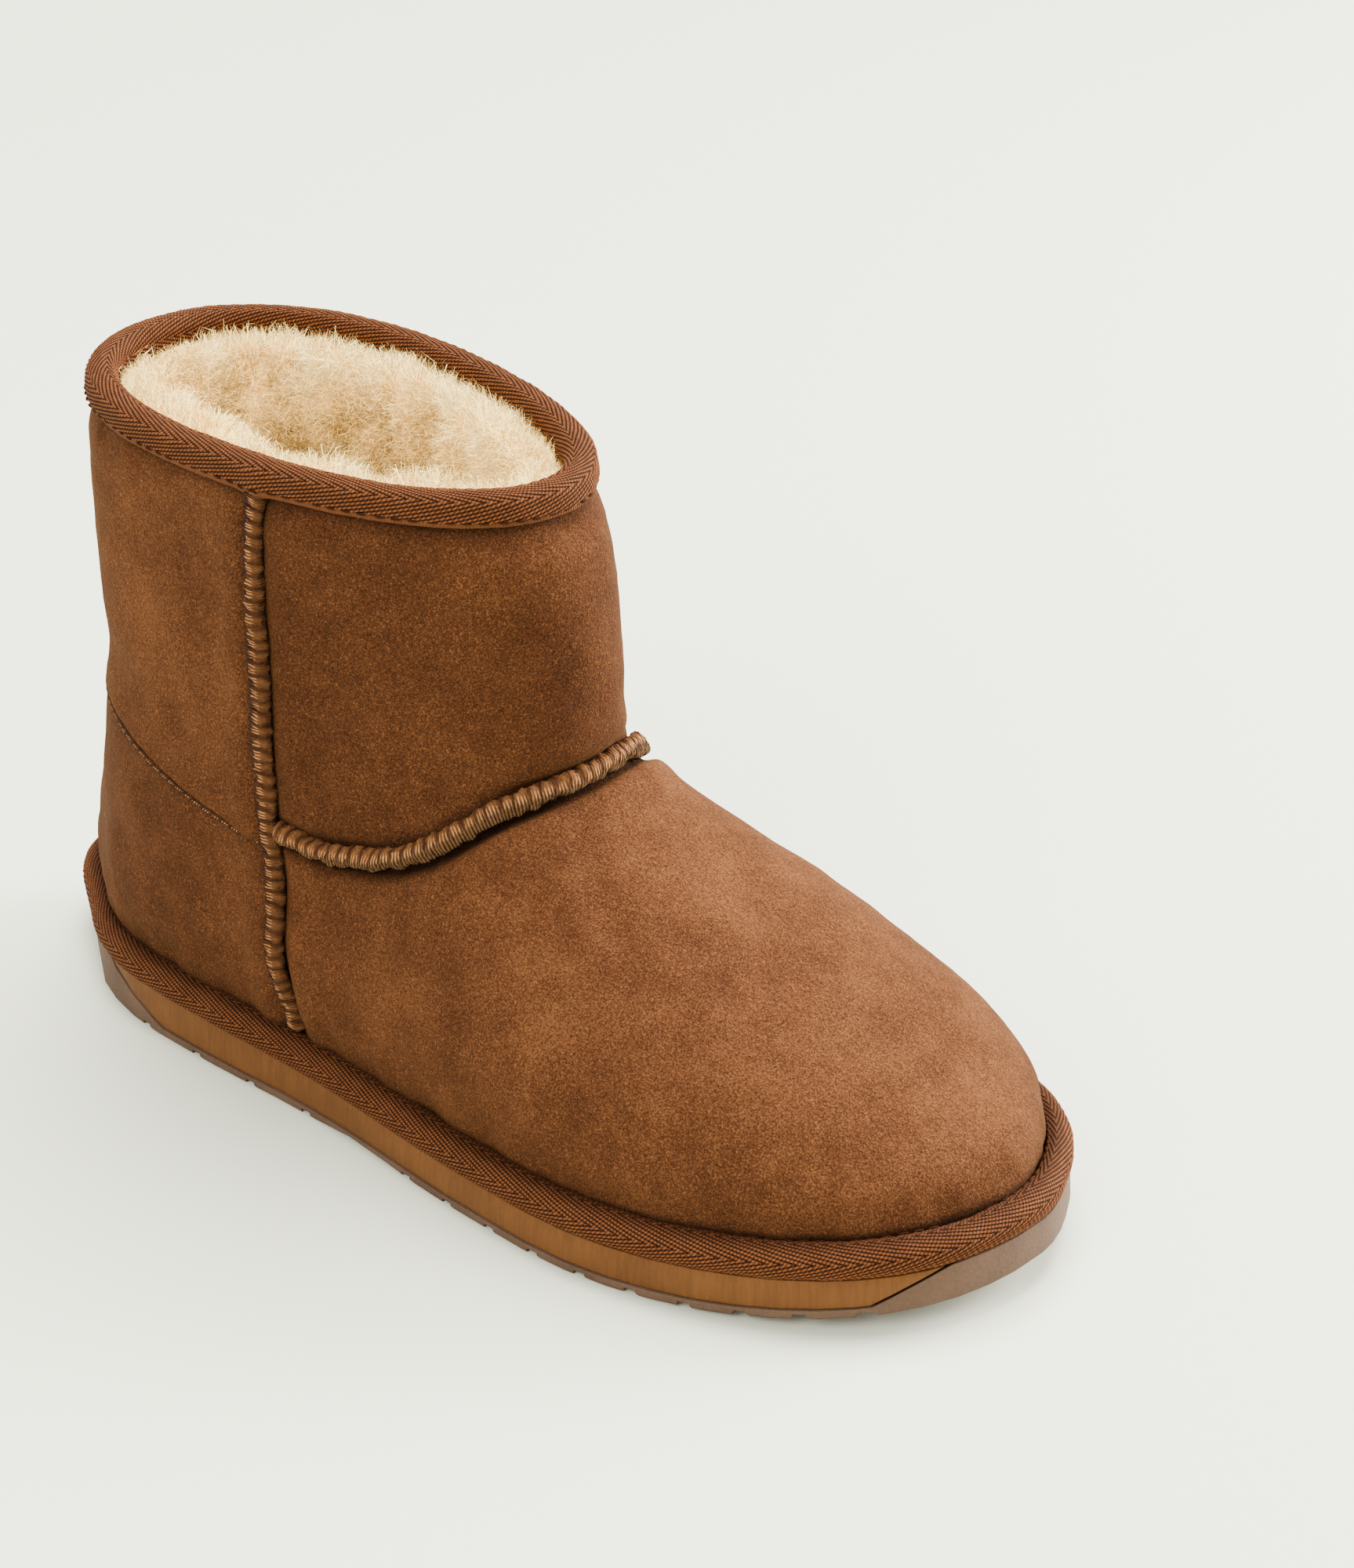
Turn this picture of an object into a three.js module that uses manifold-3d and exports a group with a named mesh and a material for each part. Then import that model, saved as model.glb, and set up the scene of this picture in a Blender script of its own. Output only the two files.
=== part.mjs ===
// Sheepskin ankle boot for the right foot. A hollow sheepskin upper stands on a foam midsole and a
// rubber outsole that wraps up over the heel and the toe; a woven tape hides the joint all round,
// and a second tape is rolled over the collar.
// Millimetres. +X is the toe, +Y the inner side of the foot, +Z up. The tread stands on z = 0.

import * as THREE from 'three';
import { mergeVertices } from 'three/addons/utils/BufferGeometryUtils.js';
import Module from 'manifold-3d';

const wasm = await Module();
wasm.setup();

// ---------------------------------------------------------------- driving sizes

const soleLength = 275;
const treadThickness = 2.2; // rubber under the midsole
const toeSpring = 7.4; // lift of the toe tip
const springStart = 198; // where the toe starts to lift
const toeTipSide = 7.4; // the toe tip lies towards the inner side
const rimHeight = 150.6; // top edge of the sheepskin at the middle of the collar
const rimSlope = -0.02; // the collar falls towards the toe
const clearance = 0.3; // between neighbouring pieces

const wallThickness = 12; // hide and fleece
const rimWall = 3.6; // hide and fleece pressed under the collar tape
const insoleThickness = 6.5;
const insoleSlack = 1.2; // the insole lies loose between the fleece walls

// Half-widths of the sole at shares of its length from the heel.
const outlineRows = [
  { along: 0.015, outer: 9.8, inner: 13.5 },
  { along: 0.05, outer: 17.8, inner: 24.0 },
  { along: 0.085, outer: 25.2, inner: 30.5 },
  { along: 0.12, outer: 32.4, inner: 34.5 },
  { along: 0.18, outer: 38.6, inner: 37.6 },
  { along: 0.27, outer: 41.6, inner: 38.6 },
  { along: 0.42, outer: 44.0, inner: 38.5 },
  { along: 0.6, outer: 51.0, inner: 46.0 },
  { along: 0.72, outer: 52.8, inner: 53.5 },
  { along: 0.85, outer: 45.0, inner: 55.0 },
  { along: 0.94, outer: 31.0, inner: 39.8 },
  { along: 0.985, outer: 14.5, inner: 21.0 },
];

// Height of the midsole's top above the tread, how far the upper's foot stands inside the sole's
// edge, and the width of the tape that covers the step.
const soleRows = [
  { along: 0, height: 11.4, inset: 3.2, tape: 0.85 },
  { along: 45, height: 11.2, inset: 4.6, tape: 0.92 },
  { along: 90, height: 10.4, inset: 5.6, tape: 1 },
  { along: 140, height: 9.3, inset: 5.7, tape: 1 },
  { along: 220, height: 9.4, inset: 5.7, tape: 1 },
  { along: 275, height: 8.2, inset: 5.7, tape: 0.95 },
];

// Height of the foot part's top line above the floor, from the heel to the toe.
const footProfile = [
  { along: 3.2, top: 26 },
  { along: 7, top: 42 },
  { along: 14, top: 58 },
  { along: 24, top: 74 },
  { along: 40, top: 88 },
  { along: 100, top: 92 },
  { along: 140, top: 89.5 },
  { along: 161, top: 82.5 },
  { along: 180, top: 74.5 },
  { along: 203, top: 64.8 },
  { along: 220, top: 56.8 },
  { along: 235, top: 49.4 },
  { along: 248, top: 42.2 },
  { along: 258, top: 35.4 },
  { along: 265, top: 29.2 },
  { along: 269.3, top: 21 },
];

// Sideways place of the foot part's ridge, and how far its walls swell over the tape.
const ridgeRows = [
  { along: 0, side: 0, swell: 0.5 },
  { along: 30, side: 0, swell: 3 },
  { along: 80, side: 0, swell: 6 },
  { along: 160, side: 2, swell: 6 },
  { along: 220, side: 5, swell: 4 },
  { along: 269.3, side: toeTipSide, swell: 1 },
];

// Level sections of the shaft: back and front ends, outer and inner half-widths, turn about +Z.
const shaftRows = [
  { height: 0, back: 22, front: 128, outer: 24, inner: 20, twist: 0 },
  { height: 25, back: 19, front: 142, outer: 31, inner: 28, twist: 0 },
  { height: 50, back: 16.7, front: 152, outer: 38.5, inner: 39.5, twist: 0 },
  { height: 65, back: 19, front: 157, outer: 40, inner: 41, twist: -2 },
  { height: 85, back: 22.2, front: 159.4, outer: 40, inner: 42.5, twist: -3 },
  { height: 100, back: 21.2, front: 161.6, outer: 39.8, inner: 43, twist: -4 },
  { height: 120, back: 18.5, front: 161, outer: 39.5, inner: 43, twist: -5 },
  { height: 134.5, back: 17.6, front: 160, outer: 38.9, inner: 42, twist: -6 },
  { height: 143.5, back: 20.4, front: 154.5, outer: 37.8, inner: 39.6, twist: -6 },
  { height: 151, back: 20.4, front: 154.4, outer: 37.8, inner: 39.5, twist: -6 },
  { height: 160, back: 20.4, front: 154.4, outer: 37.8, inner: 39.5, twist: -6 },
];
const shaftMiddle = { x: 86.4, y: 2 };
const shaftEgg = 0.12; // the collar is narrower at its front
const footPower = 2.3; // how square the foot's cross-sections are
const shaftPower = 2.15;
const throatRadius = 9; // softness of the fold between shaft and vamp

const ringCount = 30; // levels of the upper from the sole to the collar
const aroundCount = 54; // points in each ring
const stationCount = 36; // strips along the sole

// Where the midsole ends: it is longer at its top than at its bottom.
const heelWedge = { top: 33, low: 61 };
const toeWedge = { top: 269, low: 259 };

// Grooves across the tread, each set from its first groove at a pitch that closes towards the toe.
const grooveSets = [
  { first: 54.8, count: 4, pitch: 18.7, closing: 0 },
  { first: 146.2, count: 10, pitch: 13.9, closing: 0.37 },
];
const groove = { widthLow: 4.0, widthHigh: 2.6, depth: 1.3 };
const waist = { from: 114, to: 143, rise: 0.9 }; // plain stretch between the grooves

// Sections of the tapes: out from the sheepskin's outer face, and up from their own foot.
const weltSection = [
  { out: 0.4, up: 0 },
  { out: 4.7, up: 0 },
  { out: 5.7, up: 1.1 },
  { out: 6.0, up: 2.7 },
  { out: 5.4, up: 4.5 },
  { out: 3.9, up: 6.0 },
  { out: 2.0, up: 6.8 },
  { out: 0.4, up: 6.4 },
];
const collarSection = [
  { out: 0.7, up: -5.3 },
  { out: 1.7, up: -5.3 },
  { out: 2.0, up: -3.0 },
  { out: 1.6, up: -0.2 },
  { out: 0.4, up: 1.1 },
  { out: -1.8, up: 1.5 },
  { out: -4.1, up: 1.0 },
  { out: -5.1, up: -0.5 },
  { out: -5.3, up: -7.6 },
  { out: -4.2, up: -7.6 },
  { out: -4.0, up: 0.35 },
  { out: 0.4, up: 0.35 },
];

// ---------------------------------------------------------------- numbers and tables

const clamp = THREE.MathUtils.clamp;
const lerp = THREE.MathUtils.lerp;
const smoothstep = THREE.MathUtils.smoothstep;

/** Smooth reading of a table: a cubic through the rows that never overshoots them. */
function reader(rows, keyColumn, valueColumn) {
  const keys = rows.map((row) => row[keyColumn]);
  const values = rows.map((row) => row[valueColumn]);
  const last = keys.length - 1;
  const slopes = keys.slice(1).map((key, i) => (values[i + 1] - values[i]) / (key - keys[i]));
  const tangents = keys.map((key, i) => {
    if (i === 0 || i === last) return slopes[i === 0 ? 0 : last - 1];
    const before = slopes[i - 1];
    const after = slopes[i];
    return before * after <= 0 ? 0 : (2 * before * after) / (before + after);
  });
  return (x) => {
    const at = clamp(x, keys[0], keys[last]);
    let i = 0;
    while (i < last - 1 && at > keys[i + 1]) i += 1;
    const span = keys[i + 1] - keys[i];
    const t = (at - keys[i]) / span;
    const t2 = t * t;
    const t3 = t2 * t;
    return (
      (2 * t3 - 3 * t2 + 1) * values[i] +
      (t3 - 2 * t2 + t) * span * tangents[i] +
      (3 * t2 - 2 * t3) * values[i + 1] +
      (t3 - t2) * span * tangents[i + 1]
    );
  };
}

/** The larger of two lengths, rounded over where they are within a radius of each other. */
function roundedMax(a, b, radius) {
  const overlap = Math.max(radius - Math.abs(a - b), 0) / radius;
  return Math.max(a, b) + (overlap * overlap * radius) / 4;
}

function spring(x) {
  const share = clamp((x - springStart) / (soleLength - springStart), 0, 1);
  return toeSpring * share * share;
}

const soleHeight = reader(soleRows, 'along', 'height');
const featherInset = reader(soleRows, 'along', 'inset');
const tapeWidth = reader(soleRows, 'along', 'tape');
const midsoleTop = (x) => soleHeight(x) + spring(x);
const weltFoot = (x) => midsoleTop(x) + clearance;
const rimTop = (x) => rimHeight + rimSlope * (x - shaftMiddle.x);

// ---------------------------------------------------------------- sole outline

const outlineCurve = new THREE.CatmullRomCurve3(
  [
    new THREE.Vector3(0, 0, 0),
    ...outlineRows.map((row) => new THREE.Vector3(row.along * soleLength, -row.outer, 0)),
    new THREE.Vector3(soleLength, toeTipSide, 0),
    ...outlineRows.toReversed().map((row) => new THREE.Vector3(row.along * soleLength, row.inner, 0)),
  ],
  true,
  'centripetal',
);
const outlineSamples = 400;

/**
 * Both edges of the sole outline moved inwards, as functions of the place along the sole.
 * The inset is itself a function of that place.
 */
function soleEdges(insetAt) {
  const points = [];
  for (let i = 0; i < outlineSamples; i += 1) {
    const share = i / outlineSamples;
    const tangent = outlineCurve.getTangent(share);
    const point = outlineCurve.getPoint(share);
    const inset = insetAt(point.x);
    points.push({ x: point.x - tangent.y * inset, y: point.y + tangent.x * inset });
  }
  const half = outlineSamples / 2;
  const outer = points.slice(0, half + 1);
  const inner = [...points.slice(half), points[0]].toReversed();
  const onEdge = (edge, x) => {
    const after = edge.findIndex((point) => point.x > x);
    if (after <= 0) return edge[after === 0 ? 0 : edge.length - 1].y;
    const a = edge[after - 1];
    const b = edge[after];
    return lerp(a.y, b.y, (x - a.x) / (b.x - a.x));
  };
  return {
    heel: outer[0],
    toe: outer[half],
    outer: (x) => onEdge(outer, x),
    inner: (x) => onEdge(inner, x),
  };
}

// ---------------------------------------------------------------- mesh helpers

function geometryFrom(positions, triangles) {
  const geometry = new THREE.BufferGeometry();
  geometry.setAttribute('position', new THREE.Float32BufferAttribute(positions, 3));
  geometry.setIndex(triangles);
  return geometry;
}

function solidFrom(geometry) {
  const bare = geometry.clone();
  bare.deleteAttribute('normal');
  bare.deleteAttribute('uv');
  const merged = mergeVertices(bare, 1e-4);
  return new wasm.Manifold(
    new wasm.Mesh({
      numProp: 3,
      vertProperties: new Float32Array(merged.attributes.position.array),
      triVerts: new Uint32Array(merged.index.array),
    }),
  );
}

function geometryOf(solid) {
  const mesh = solid.getMesh();
  return geometryFrom(Array.from(mesh.vertProperties), Array.from(mesh.triVerts));
}

/** A layer of the sole: level rows of points, each row following the outline at its own inset. */
function soleSlab(levels) {
  const positions = [];
  const triangles = [];
  const perRow = 2 * stationCount;
  for (const level of levels) {
    const edges = soleEdges(level.inset);
    const place = (i) => {
      const share = (1 - Math.cos((Math.PI * i) / stationCount)) / 2;
      return lerp(edges.heel.x, edges.toe.x, share);
    };
    positions.push(edges.heel.x, edges.heel.y, level.height(edges.heel.x));
    for (let i = 1; i < stationCount; i += 1) {
      positions.push(place(i), edges.outer(place(i)), level.height(place(i)));
    }
    positions.push(edges.toe.x, edges.toe.y, level.height(edges.toe.x));
    for (let i = stationCount - 1; i > 0; i -= 1) {
      positions.push(place(i), edges.inner(place(i)), level.height(place(i)));
    }
  }
  for (let row = 0; row < levels.length - 1; row += 1) {
    for (let i = 0; i < perRow; i += 1) {
      const a = row * perRow + i;
      const b = row * perRow + ((i + 1) % perRow);
      triangles.push(a, b, b + perRow, a, b + perRow, a + perRow);
    }
  }
  const topRow = (levels.length - 1) * perRow;
  for (let i = 0; i < stationCount; i += 1) {
    const quad = [i, i + 1, perRow - i - 1, (perRow - i) % perRow];
    const corners = quad.filter((corner, at) => quad.indexOf(corner) === at);
    for (let c = 1; c < corners.length - 1; c += 1) {
      const [a, b, d] = [corners[0], corners[c], corners[c + 1]];
      triangles.push(topRow + a, topRow + b, topRow + d, a, d, b);
    }
  }
  return geometryFrom(positions, triangles);
}

/** A closed band: one section carried around a ring of points, each with its outward direction. */
function bandAround(ring, outward, section, foot, width) {
  const positions = [];
  const triangles = [];
  const sides = section.length;
  ring.forEach((point, i) => {
    for (const corner of section) {
      const out = corner.out * width(point.x);
      const x = point.x + outward[i].x * out;
      positions.push(x, point.y + outward[i].y * out, foot(x) + corner.up);
    }
  });
  for (let i = 0; i < ring.length; i += 1) {
    const next = (i + 1) % ring.length;
    for (let s = 0; s < sides; s += 1) {
      const after = (s + 1) % sides;
      const [a, b] = [i * sides + s, next * sides + s];
      const [c, d] = [next * sides + after, i * sides + after];
      triangles.push(a, b, c, a, c, d);
    }
  }
  return geometryFrom(positions, triangles);
}

/** A profile in X and Z carried across the whole sole. */
function acrossSole(points) {
  const span = 160;
  const shape = new THREE.Shape(points.map(([x, z]) => new THREE.Vector2(x, z)));
  const geometry = new THREE.ExtrudeGeometry(shape, { depth: span, bevelEnabled: false });
  geometry.rotateX(Math.PI / 2);
  geometry.translate(0, span / 2, 0);
  return solidFrom(geometry);
}

// ---------------------------------------------------------------- sole pieces

/** The space that the midsole fills between the rubber wedges, made smaller by a margin. */
function midsoleSpace(margin) {
  const ceiling = 30;
  const floor = treadThickness + margin;
  const lean = (wedge) =>
    (wedge.top - wedge.low) / (midsoleTop(wedge.top) - treadThickness - spring(wedge.low));
  const heelLean = lean(heelWedge);
  const toeLean = lean(toeWedge);
  const lowStart = heelWedge.low + 2 * margin;
  const lowEnd = toeWedge.low - 2 * margin;
  const toeFloor = floor + spring(lowEnd);
  const steps = 12;
  const underside = [[lowStart, floor]];
  for (let i = 0; i <= steps; i += 1) {
    const x = lerp(springStart, lowEnd, i / steps);
    underside.push([x, floor + spring(x)]);
  }
  return acrossSole([
    ...underside,
    [lowEnd + toeLean * (ceiling - toeFloor), ceiling],
    [lowStart + heelLean * (ceiling - floor), ceiling],
  ]);
}

function grooveAt(x) {
  const low = spring(x) - 1;
  const high = spring(x) + groove.depth;
  return acrossSole([
    [x - groove.widthLow / 2, low],
    [x + groove.widthLow / 2, low],
    [x + groove.widthHigh / 2, high],
    [x - groove.widthHigh / 2, high],
  ]);
}

function waistRise(x) {
  const share = clamp((x - waist.from) / (waist.to - waist.from), 0, 1);
  return waist.rise * Math.sin(Math.PI * share);
}

/** One level of a sole layer at a fixed inset and a height above the tread's spring line. */
function springLevel(inset, height) {
  return { inset: () => inset, height: (x) => height + spring(x) };
}

function makeOutsole() {
  const block = soleSlab([
    { inset: () => 0.5, height: (x) => spring(x) + waistRise(x) },
    { inset: () => 0, height: (x) => spring(x) + waistRise(x) + 0.6 },
    springLevel(0, treadThickness),
    { inset: () => 0.5, height: midsoleTop },
  ]);
  let solid = solidFrom(block).subtract(midsoleSpace(0));
  for (const set of grooveSets) {
    let x = set.first;
    for (let i = 0; i < set.count; i += 1) {
      solid = solid.subtract(grooveAt(x));
      x += set.pitch - set.closing * i;
    }
  }
  return geometryOf(solid);
}

function makeMidsole() {
  const block = soleSlab([
    springLevel(0.4, treadThickness - 1),
    springLevel(0.3, 4.5),
    springLevel(0.4, 6.8),
    { inset: () => 0.8, height: midsoleTop },
  ]);
  return geometryOf(solidFrom(block).intersect(midsoleSpace(clearance)));
}

function makeInsole() {
  const level = (extra, height) => ({
    inset: (x) => featherInset(x) + wallThickness + insoleSlack + extra,
    height: (x) => weltFoot(x) + height,
  });
  return soleSlab([
    level(0, 0),
    level(0, insoleThickness - 1.5),
    level(1.5, insoleThickness),
  ]);
}

// ---------------------------------------------------------------- upper

const footTop = reader(footProfile, 'along', 'top');
const ridgeSide = reader(ridgeRows, 'along', 'side');
const wallSwell = reader(ridgeRows, 'along', 'swell');
const feather = soleEdges(featherInset);
const shaft = Object.fromEntries(
  ['back', 'front', 'outer', 'inner', 'twist'].map((column) => [
    column,
    reader(shaftRows, 'height', column),
  ]),
);

/** Below zero inside the foot part: square-shouldered domes over the feather line. */
function footLevel(x, y, z) {
  if (x <= feather.heel.x || x >= feather.toe.x) return 1;
  const foot = midsoleTop(x);
  const height = Math.max(z - foot, 0) / (footTop(x) - foot);
  const ridge = ridgeSide(x);
  const swell = wallSwell(x) * smoothstep(z, foot + 6.5, foot + 30);
  const reach = y < ridge ? ridge - feather.outer(x) : feather.inner(x) - ridge;
  const side = Math.abs(y - ridge) / (Math.max(reach, 0.01) + swell);
  return height ** footPower + side ** footPower - 1;
}

/** Below zero inside the shaft: egg-shaped level sections. */
function shaftLevel(x, y, z) {
  const turn = THREE.MathUtils.degToRad(shaft.twist(z));
  const dx = x - shaftMiddle.x;
  const dy = y - shaftMiddle.y;
  const along = dx * Math.cos(turn) + dy * Math.sin(turn);
  const side = dy * Math.cos(turn) - dx * Math.sin(turn);
  const length = along > 0 ? shaft.front(z) - shaftMiddle.x : shaftMiddle.x - shaft.back(z);
  const width = side < 0 ? shaft.outer(z) + shaftMiddle.y : shaft.inner(z) - shaftMiddle.y;
  const share = along / length;
  const narrowed = width * (1 - shaftEgg * share);
  return Math.abs(share) ** shaftPower + Math.abs(side / narrowed) ** shaftPower - 1;
}

const toeLine = footProfile
  .filter((row) => row.along > 150)
  .toReversed()
  .map((row) => new THREE.Vector3(row.along, 0, row.top));
const collarFront = shaft.front(rimHeight);
const frontLine = new THREE.CatmullRomCurve3(
  [
    new THREE.Vector3(feather.toe.x, 0, weltFoot(feather.toe.x)),
    ...toeLine,
    new THREE.Vector3(161, 0, 105),
    new THREE.Vector3(collarFront, 0, rimTop(collarFront)),
  ],
  false,
  'centripetal',
);

/** Height of one ring of the upper: a slanted plane that follows the sole's top line near it. */
function ringPlane(share) {
  const front = frontLine.getPointAt(share);
  const backX = lerp(feather.heel.x, shaft.back(rimHeight), share);
  const backZ = lerp(weltFoot(feather.heel.x), rimTop(backX), share);
  const slope = (front.z - backZ) / (front.x - backX);
  const follow = 1 - smoothstep(share, 0, 0.3);
  const straight = (x) =>
    lerp(weltFoot(backX), weltFoot(front.x), (x - backX) / (front.x - backX));
  return (x) => backZ + slope * (x - backX) + follow * (weltFoot(x) - straight(x));
}

/** Distance from a ring's middle to a surface, found by halving. */
function reachOf(level, pointAt) {
  let near = 0;
  let far = 210;
  if (level(...pointAt(near)) > 0) return 0;
  for (let i = 0; i < 30; i += 1) {
    const middle = (near + far) / 2;
    if (level(...pointAt(middle)) > 0) far = middle;
    else near = middle;
  }
  return near;
}

function outerRings() {
  const rings = [];
  for (let k = 0; k <= ringCount; k += 1) {
    const share = k / ringCount;
    const height = ringPlane(share);
    const middleX = lerp(118, shaftMiddle.x, smoothstep(share, 0, 0.7));
    const stretch = lerp(2.1, 1.55, share);
    const ring = [];
    for (let i = 0; i < aroundCount; i += 1) {
      const angle = (2 * Math.PI * i) / aroundCount;
      const heading = Math.atan2(Math.sin(angle), stretch * Math.cos(angle));
      const pointAt = (reach) => {
        const x = middleX + reach * Math.cos(heading);
        return [x, shaftMiddle.y + reach * Math.sin(heading), height(x)];
      };
      const footReach = reachOf(footLevel, pointAt);
      const shaftReach = reachOf(shaftLevel, pointAt);
      const forward = smoothstep(Math.cos(heading), -0.3, 0.6);
      const radius = lerp(1, throatRadius, forward * smoothstep(height(middleX), 30, 60));
      const reach = footReach > 0 ? roundedMax(footReach, shaftReach, radius) : shaftReach;
      ring.push(new THREE.Vector3(...pointAt(reach)));
    }
    rings.push(ring);
  }
  return rings;
}

/** Outward directions of the rings; level at the sole and at the collar. */
function ringNormals(rings) {
  return rings.map((ring, k) =>
    ring.map((point, i) => {
      const around = ring[(i + 1) % aroundCount].clone().sub(ring.at(i - 1));
      const above = rings[Math.min(k + 1, ringCount)][i];
      const below = rings[Math.max(k - 1, 0)][i];
      const normal = around.cross(above.clone().sub(below)).normalize();
      if (k < 2 || k > ringCount - 3) normal.setZ(0).normalize();
      return normal;
    }),
  );
}

/** Hide and fleece: pressed thin under the collar tape, full below it. */
function wallAt(point) {
  return lerp(rimWall, wallThickness, smoothstep(rimTop(point.x) - point.z, 12, 22));
}

/** One hollow solid: the outer face, the collar's edge, the fleece face and the lower edge. */
function makeUpper(rings, normals) {
  const inside = rings.map((ring, k) =>
    ring.map((point, i) => point.clone().addScaledVector(normals[k][i], -wallAt(point))),
  );
  const loop = [...rings, ...inside.toReversed()];
  const positions = loop.flat().flatMap((point) => [point.x, point.y, point.z]);
  const triangles = [];
  for (let row = 0; row < loop.length; row += 1) {
    const nextRow = (row + 1) % loop.length;
    for (let i = 0; i < aroundCount; i += 1) {
      const next = (i + 1) % aroundCount;
      const [a, b] = [row * aroundCount + i, row * aroundCount + next];
      const [c, d] = [nextRow * aroundCount + next, nextRow * aroundCount + i];
      triangles.push(a, b, c, a, c, d);
    }
  }
  return geometryFrom(positions, triangles);
}

// ---------------------------------------------------------------- assembly

const finishes = {
  suede: { color: 0xa0622f, roughness: 0.95 },
  tape: { color: 0xb07042, roughness: 0.85 },
  foam: { color: 0x965c1e, roughness: 0.7 },
  rubber: { color: 0xa57d5f, roughness: 0.75 },
  fleece: { color: 0xf2e0bd, roughness: 1 },
};

function piece(name, geometry, finish) {
  const material = new THREE.MeshStandardMaterial({ ...finishes[finish], metalness: 0 });
  const mesh = new THREE.Mesh(geometry, material);
  mesh.name = name;
  return mesh;
}

const rings = outerRings();
const normals = ringNormals(rings);

const boot = new THREE.Group();
boot.add(piece('outsole', makeOutsole(), 'rubber'));
boot.add(piece('midsole', makeMidsole(), 'foam'));
boot.add(piece('insole', makeInsole(), 'fleece'));
boot.add(piece('upper', makeUpper(rings, normals), 'suede'));
const welt = bandAround(rings[0], normals[0], weltSection, weltFoot, tapeWidth);
boot.add(piece('welt_binding', welt, 'tape'));
const collar = bandAround(rings[ringCount], normals[ringCount], collarSection, rimTop, () => 1);
boot.add(piece('collar_binding', collar, 'tape'));

// The origin is under the middle of the boot, on the floor.
const bounds = new THREE.Box3().setFromObject(boot, true);
const middle = bounds.getCenter(new THREE.Vector3());
boot.position.set(-middle.x, -middle.y, -bounds.min.z);

export default boot;
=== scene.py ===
"""Looks of a low sheepskin boot for the right foot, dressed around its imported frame.

The boot's own coordinates are millimetres from the back of the heel on the floor: +X to the toe,
+Y to the inner side of the foot, +Z up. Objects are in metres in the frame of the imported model.
"""

import logging
import math
from dataclasses import dataclass, field
from enum import Enum

import bmesh
import bpy
import numpy as np
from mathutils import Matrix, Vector, noise
from mathutils.bvhtree import BVHTree
from mathutils.kdtree import KDTree

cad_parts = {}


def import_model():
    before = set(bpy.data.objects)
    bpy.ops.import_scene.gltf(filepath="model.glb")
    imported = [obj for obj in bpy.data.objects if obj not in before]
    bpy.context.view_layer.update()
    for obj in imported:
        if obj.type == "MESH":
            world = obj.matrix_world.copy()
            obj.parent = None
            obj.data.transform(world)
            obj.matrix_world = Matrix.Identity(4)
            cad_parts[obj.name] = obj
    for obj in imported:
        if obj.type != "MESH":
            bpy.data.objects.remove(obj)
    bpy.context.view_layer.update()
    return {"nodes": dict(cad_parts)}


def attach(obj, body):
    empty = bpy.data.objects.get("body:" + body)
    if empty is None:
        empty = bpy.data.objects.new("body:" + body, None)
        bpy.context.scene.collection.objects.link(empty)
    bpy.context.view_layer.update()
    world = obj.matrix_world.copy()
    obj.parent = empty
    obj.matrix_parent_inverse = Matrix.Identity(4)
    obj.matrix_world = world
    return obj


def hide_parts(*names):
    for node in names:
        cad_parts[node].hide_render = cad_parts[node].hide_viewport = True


LOG = logging.getLogger("sheepskin_boot")
Colour = tuple[float, float, float, float]
Rows = tuple[tuple[float, ...], ...]


def linear(red: int, green: int, blue: int) -> Colour:
    """Turns a paint-chart colour, 0 to 255 a channel, into linear light.

    Args:
        red, green, blue: The channels.

    Returns:
        The colour as shader sockets take it.
    """
    shares = (channel / 255 for channel in (red, green, blue))
    lit = [s / 12.92 if s <= 0.04045 else ((s + 0.055) / 1.055) ** 2.4 for s in shares]
    return (lit[0], lit[1], lit[2], 1.0)


# ---------------------------------------------------------------- the boot's coordinates


@dataclass(frozen=True)
class BootPlace:
    """Where the boot's own coordinates lie in the frame, and its main levels, in millimetres."""

    heel: tuple[float, float, float] = (-136.580, -1.416, 0.0)
    rim_height: float = 150.6
    rim_slope: float = -0.02
    shaft_middle: tuple[float, float] = (86.4, 2.0)
    toe_spring: float = 7.4
    spring_start: float = 198.0
    sole_length: float = 275.0
    clearance: float = 0.3
    sole_heights: Rows = ((0, 11.4), (45, 11.2), (90, 10.4), (140, 9.3), (220, 9.4), (275, 8.2))

    def to_frame(self, points: np.ndarray) -> np.ndarray:
        """Boot millimetres to frame metres."""
        return (np.asarray(points, float) + np.array(self.heel)) / 1000

    def to_boot(self, points: np.ndarray) -> np.ndarray:
        """Frame metres to boot millimetres."""
        return np.asarray(points, float) * 1000 - np.array(self.heel)

    def rim(self, x: np.ndarray) -> np.ndarray:
        """Height of the sheepskin's top edge at a place along the boot."""
        return self.rim_height + self.rim_slope * (x - self.shaft_middle[0])

    def welt_foot(self, x: np.ndarray) -> np.ndarray:
        """Height of the sole tape's lower edge.

        Args:
            x: Places along the boot.

        Returns:
            The height at each place.
        """
        table = np.array(self.sole_heights, float)
        share = np.clip((x - self.spring_start) / (self.sole_length - self.spring_start), 0, 1)
        level = np.interp(x, table[:, 0], table[:, 1])
        return level + self.toe_spring * share**2 + self.clearance


BOOT = BootPlace()


def smooth_step(value: np.ndarray, low: float, high: float) -> np.ndarray:
    """0 at low and 1 at high, level at both ends."""
    share = np.clip((value - low) / (high - low), 0, 1)
    return share * share * (3 - 2 * share)


def hump(distance: np.ndarray, middle: float, width: float) -> np.ndarray:
    """A soft bell of height 1 around a middle."""
    return np.exp(-(((distance - middle) / width) ** 2))


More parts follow.
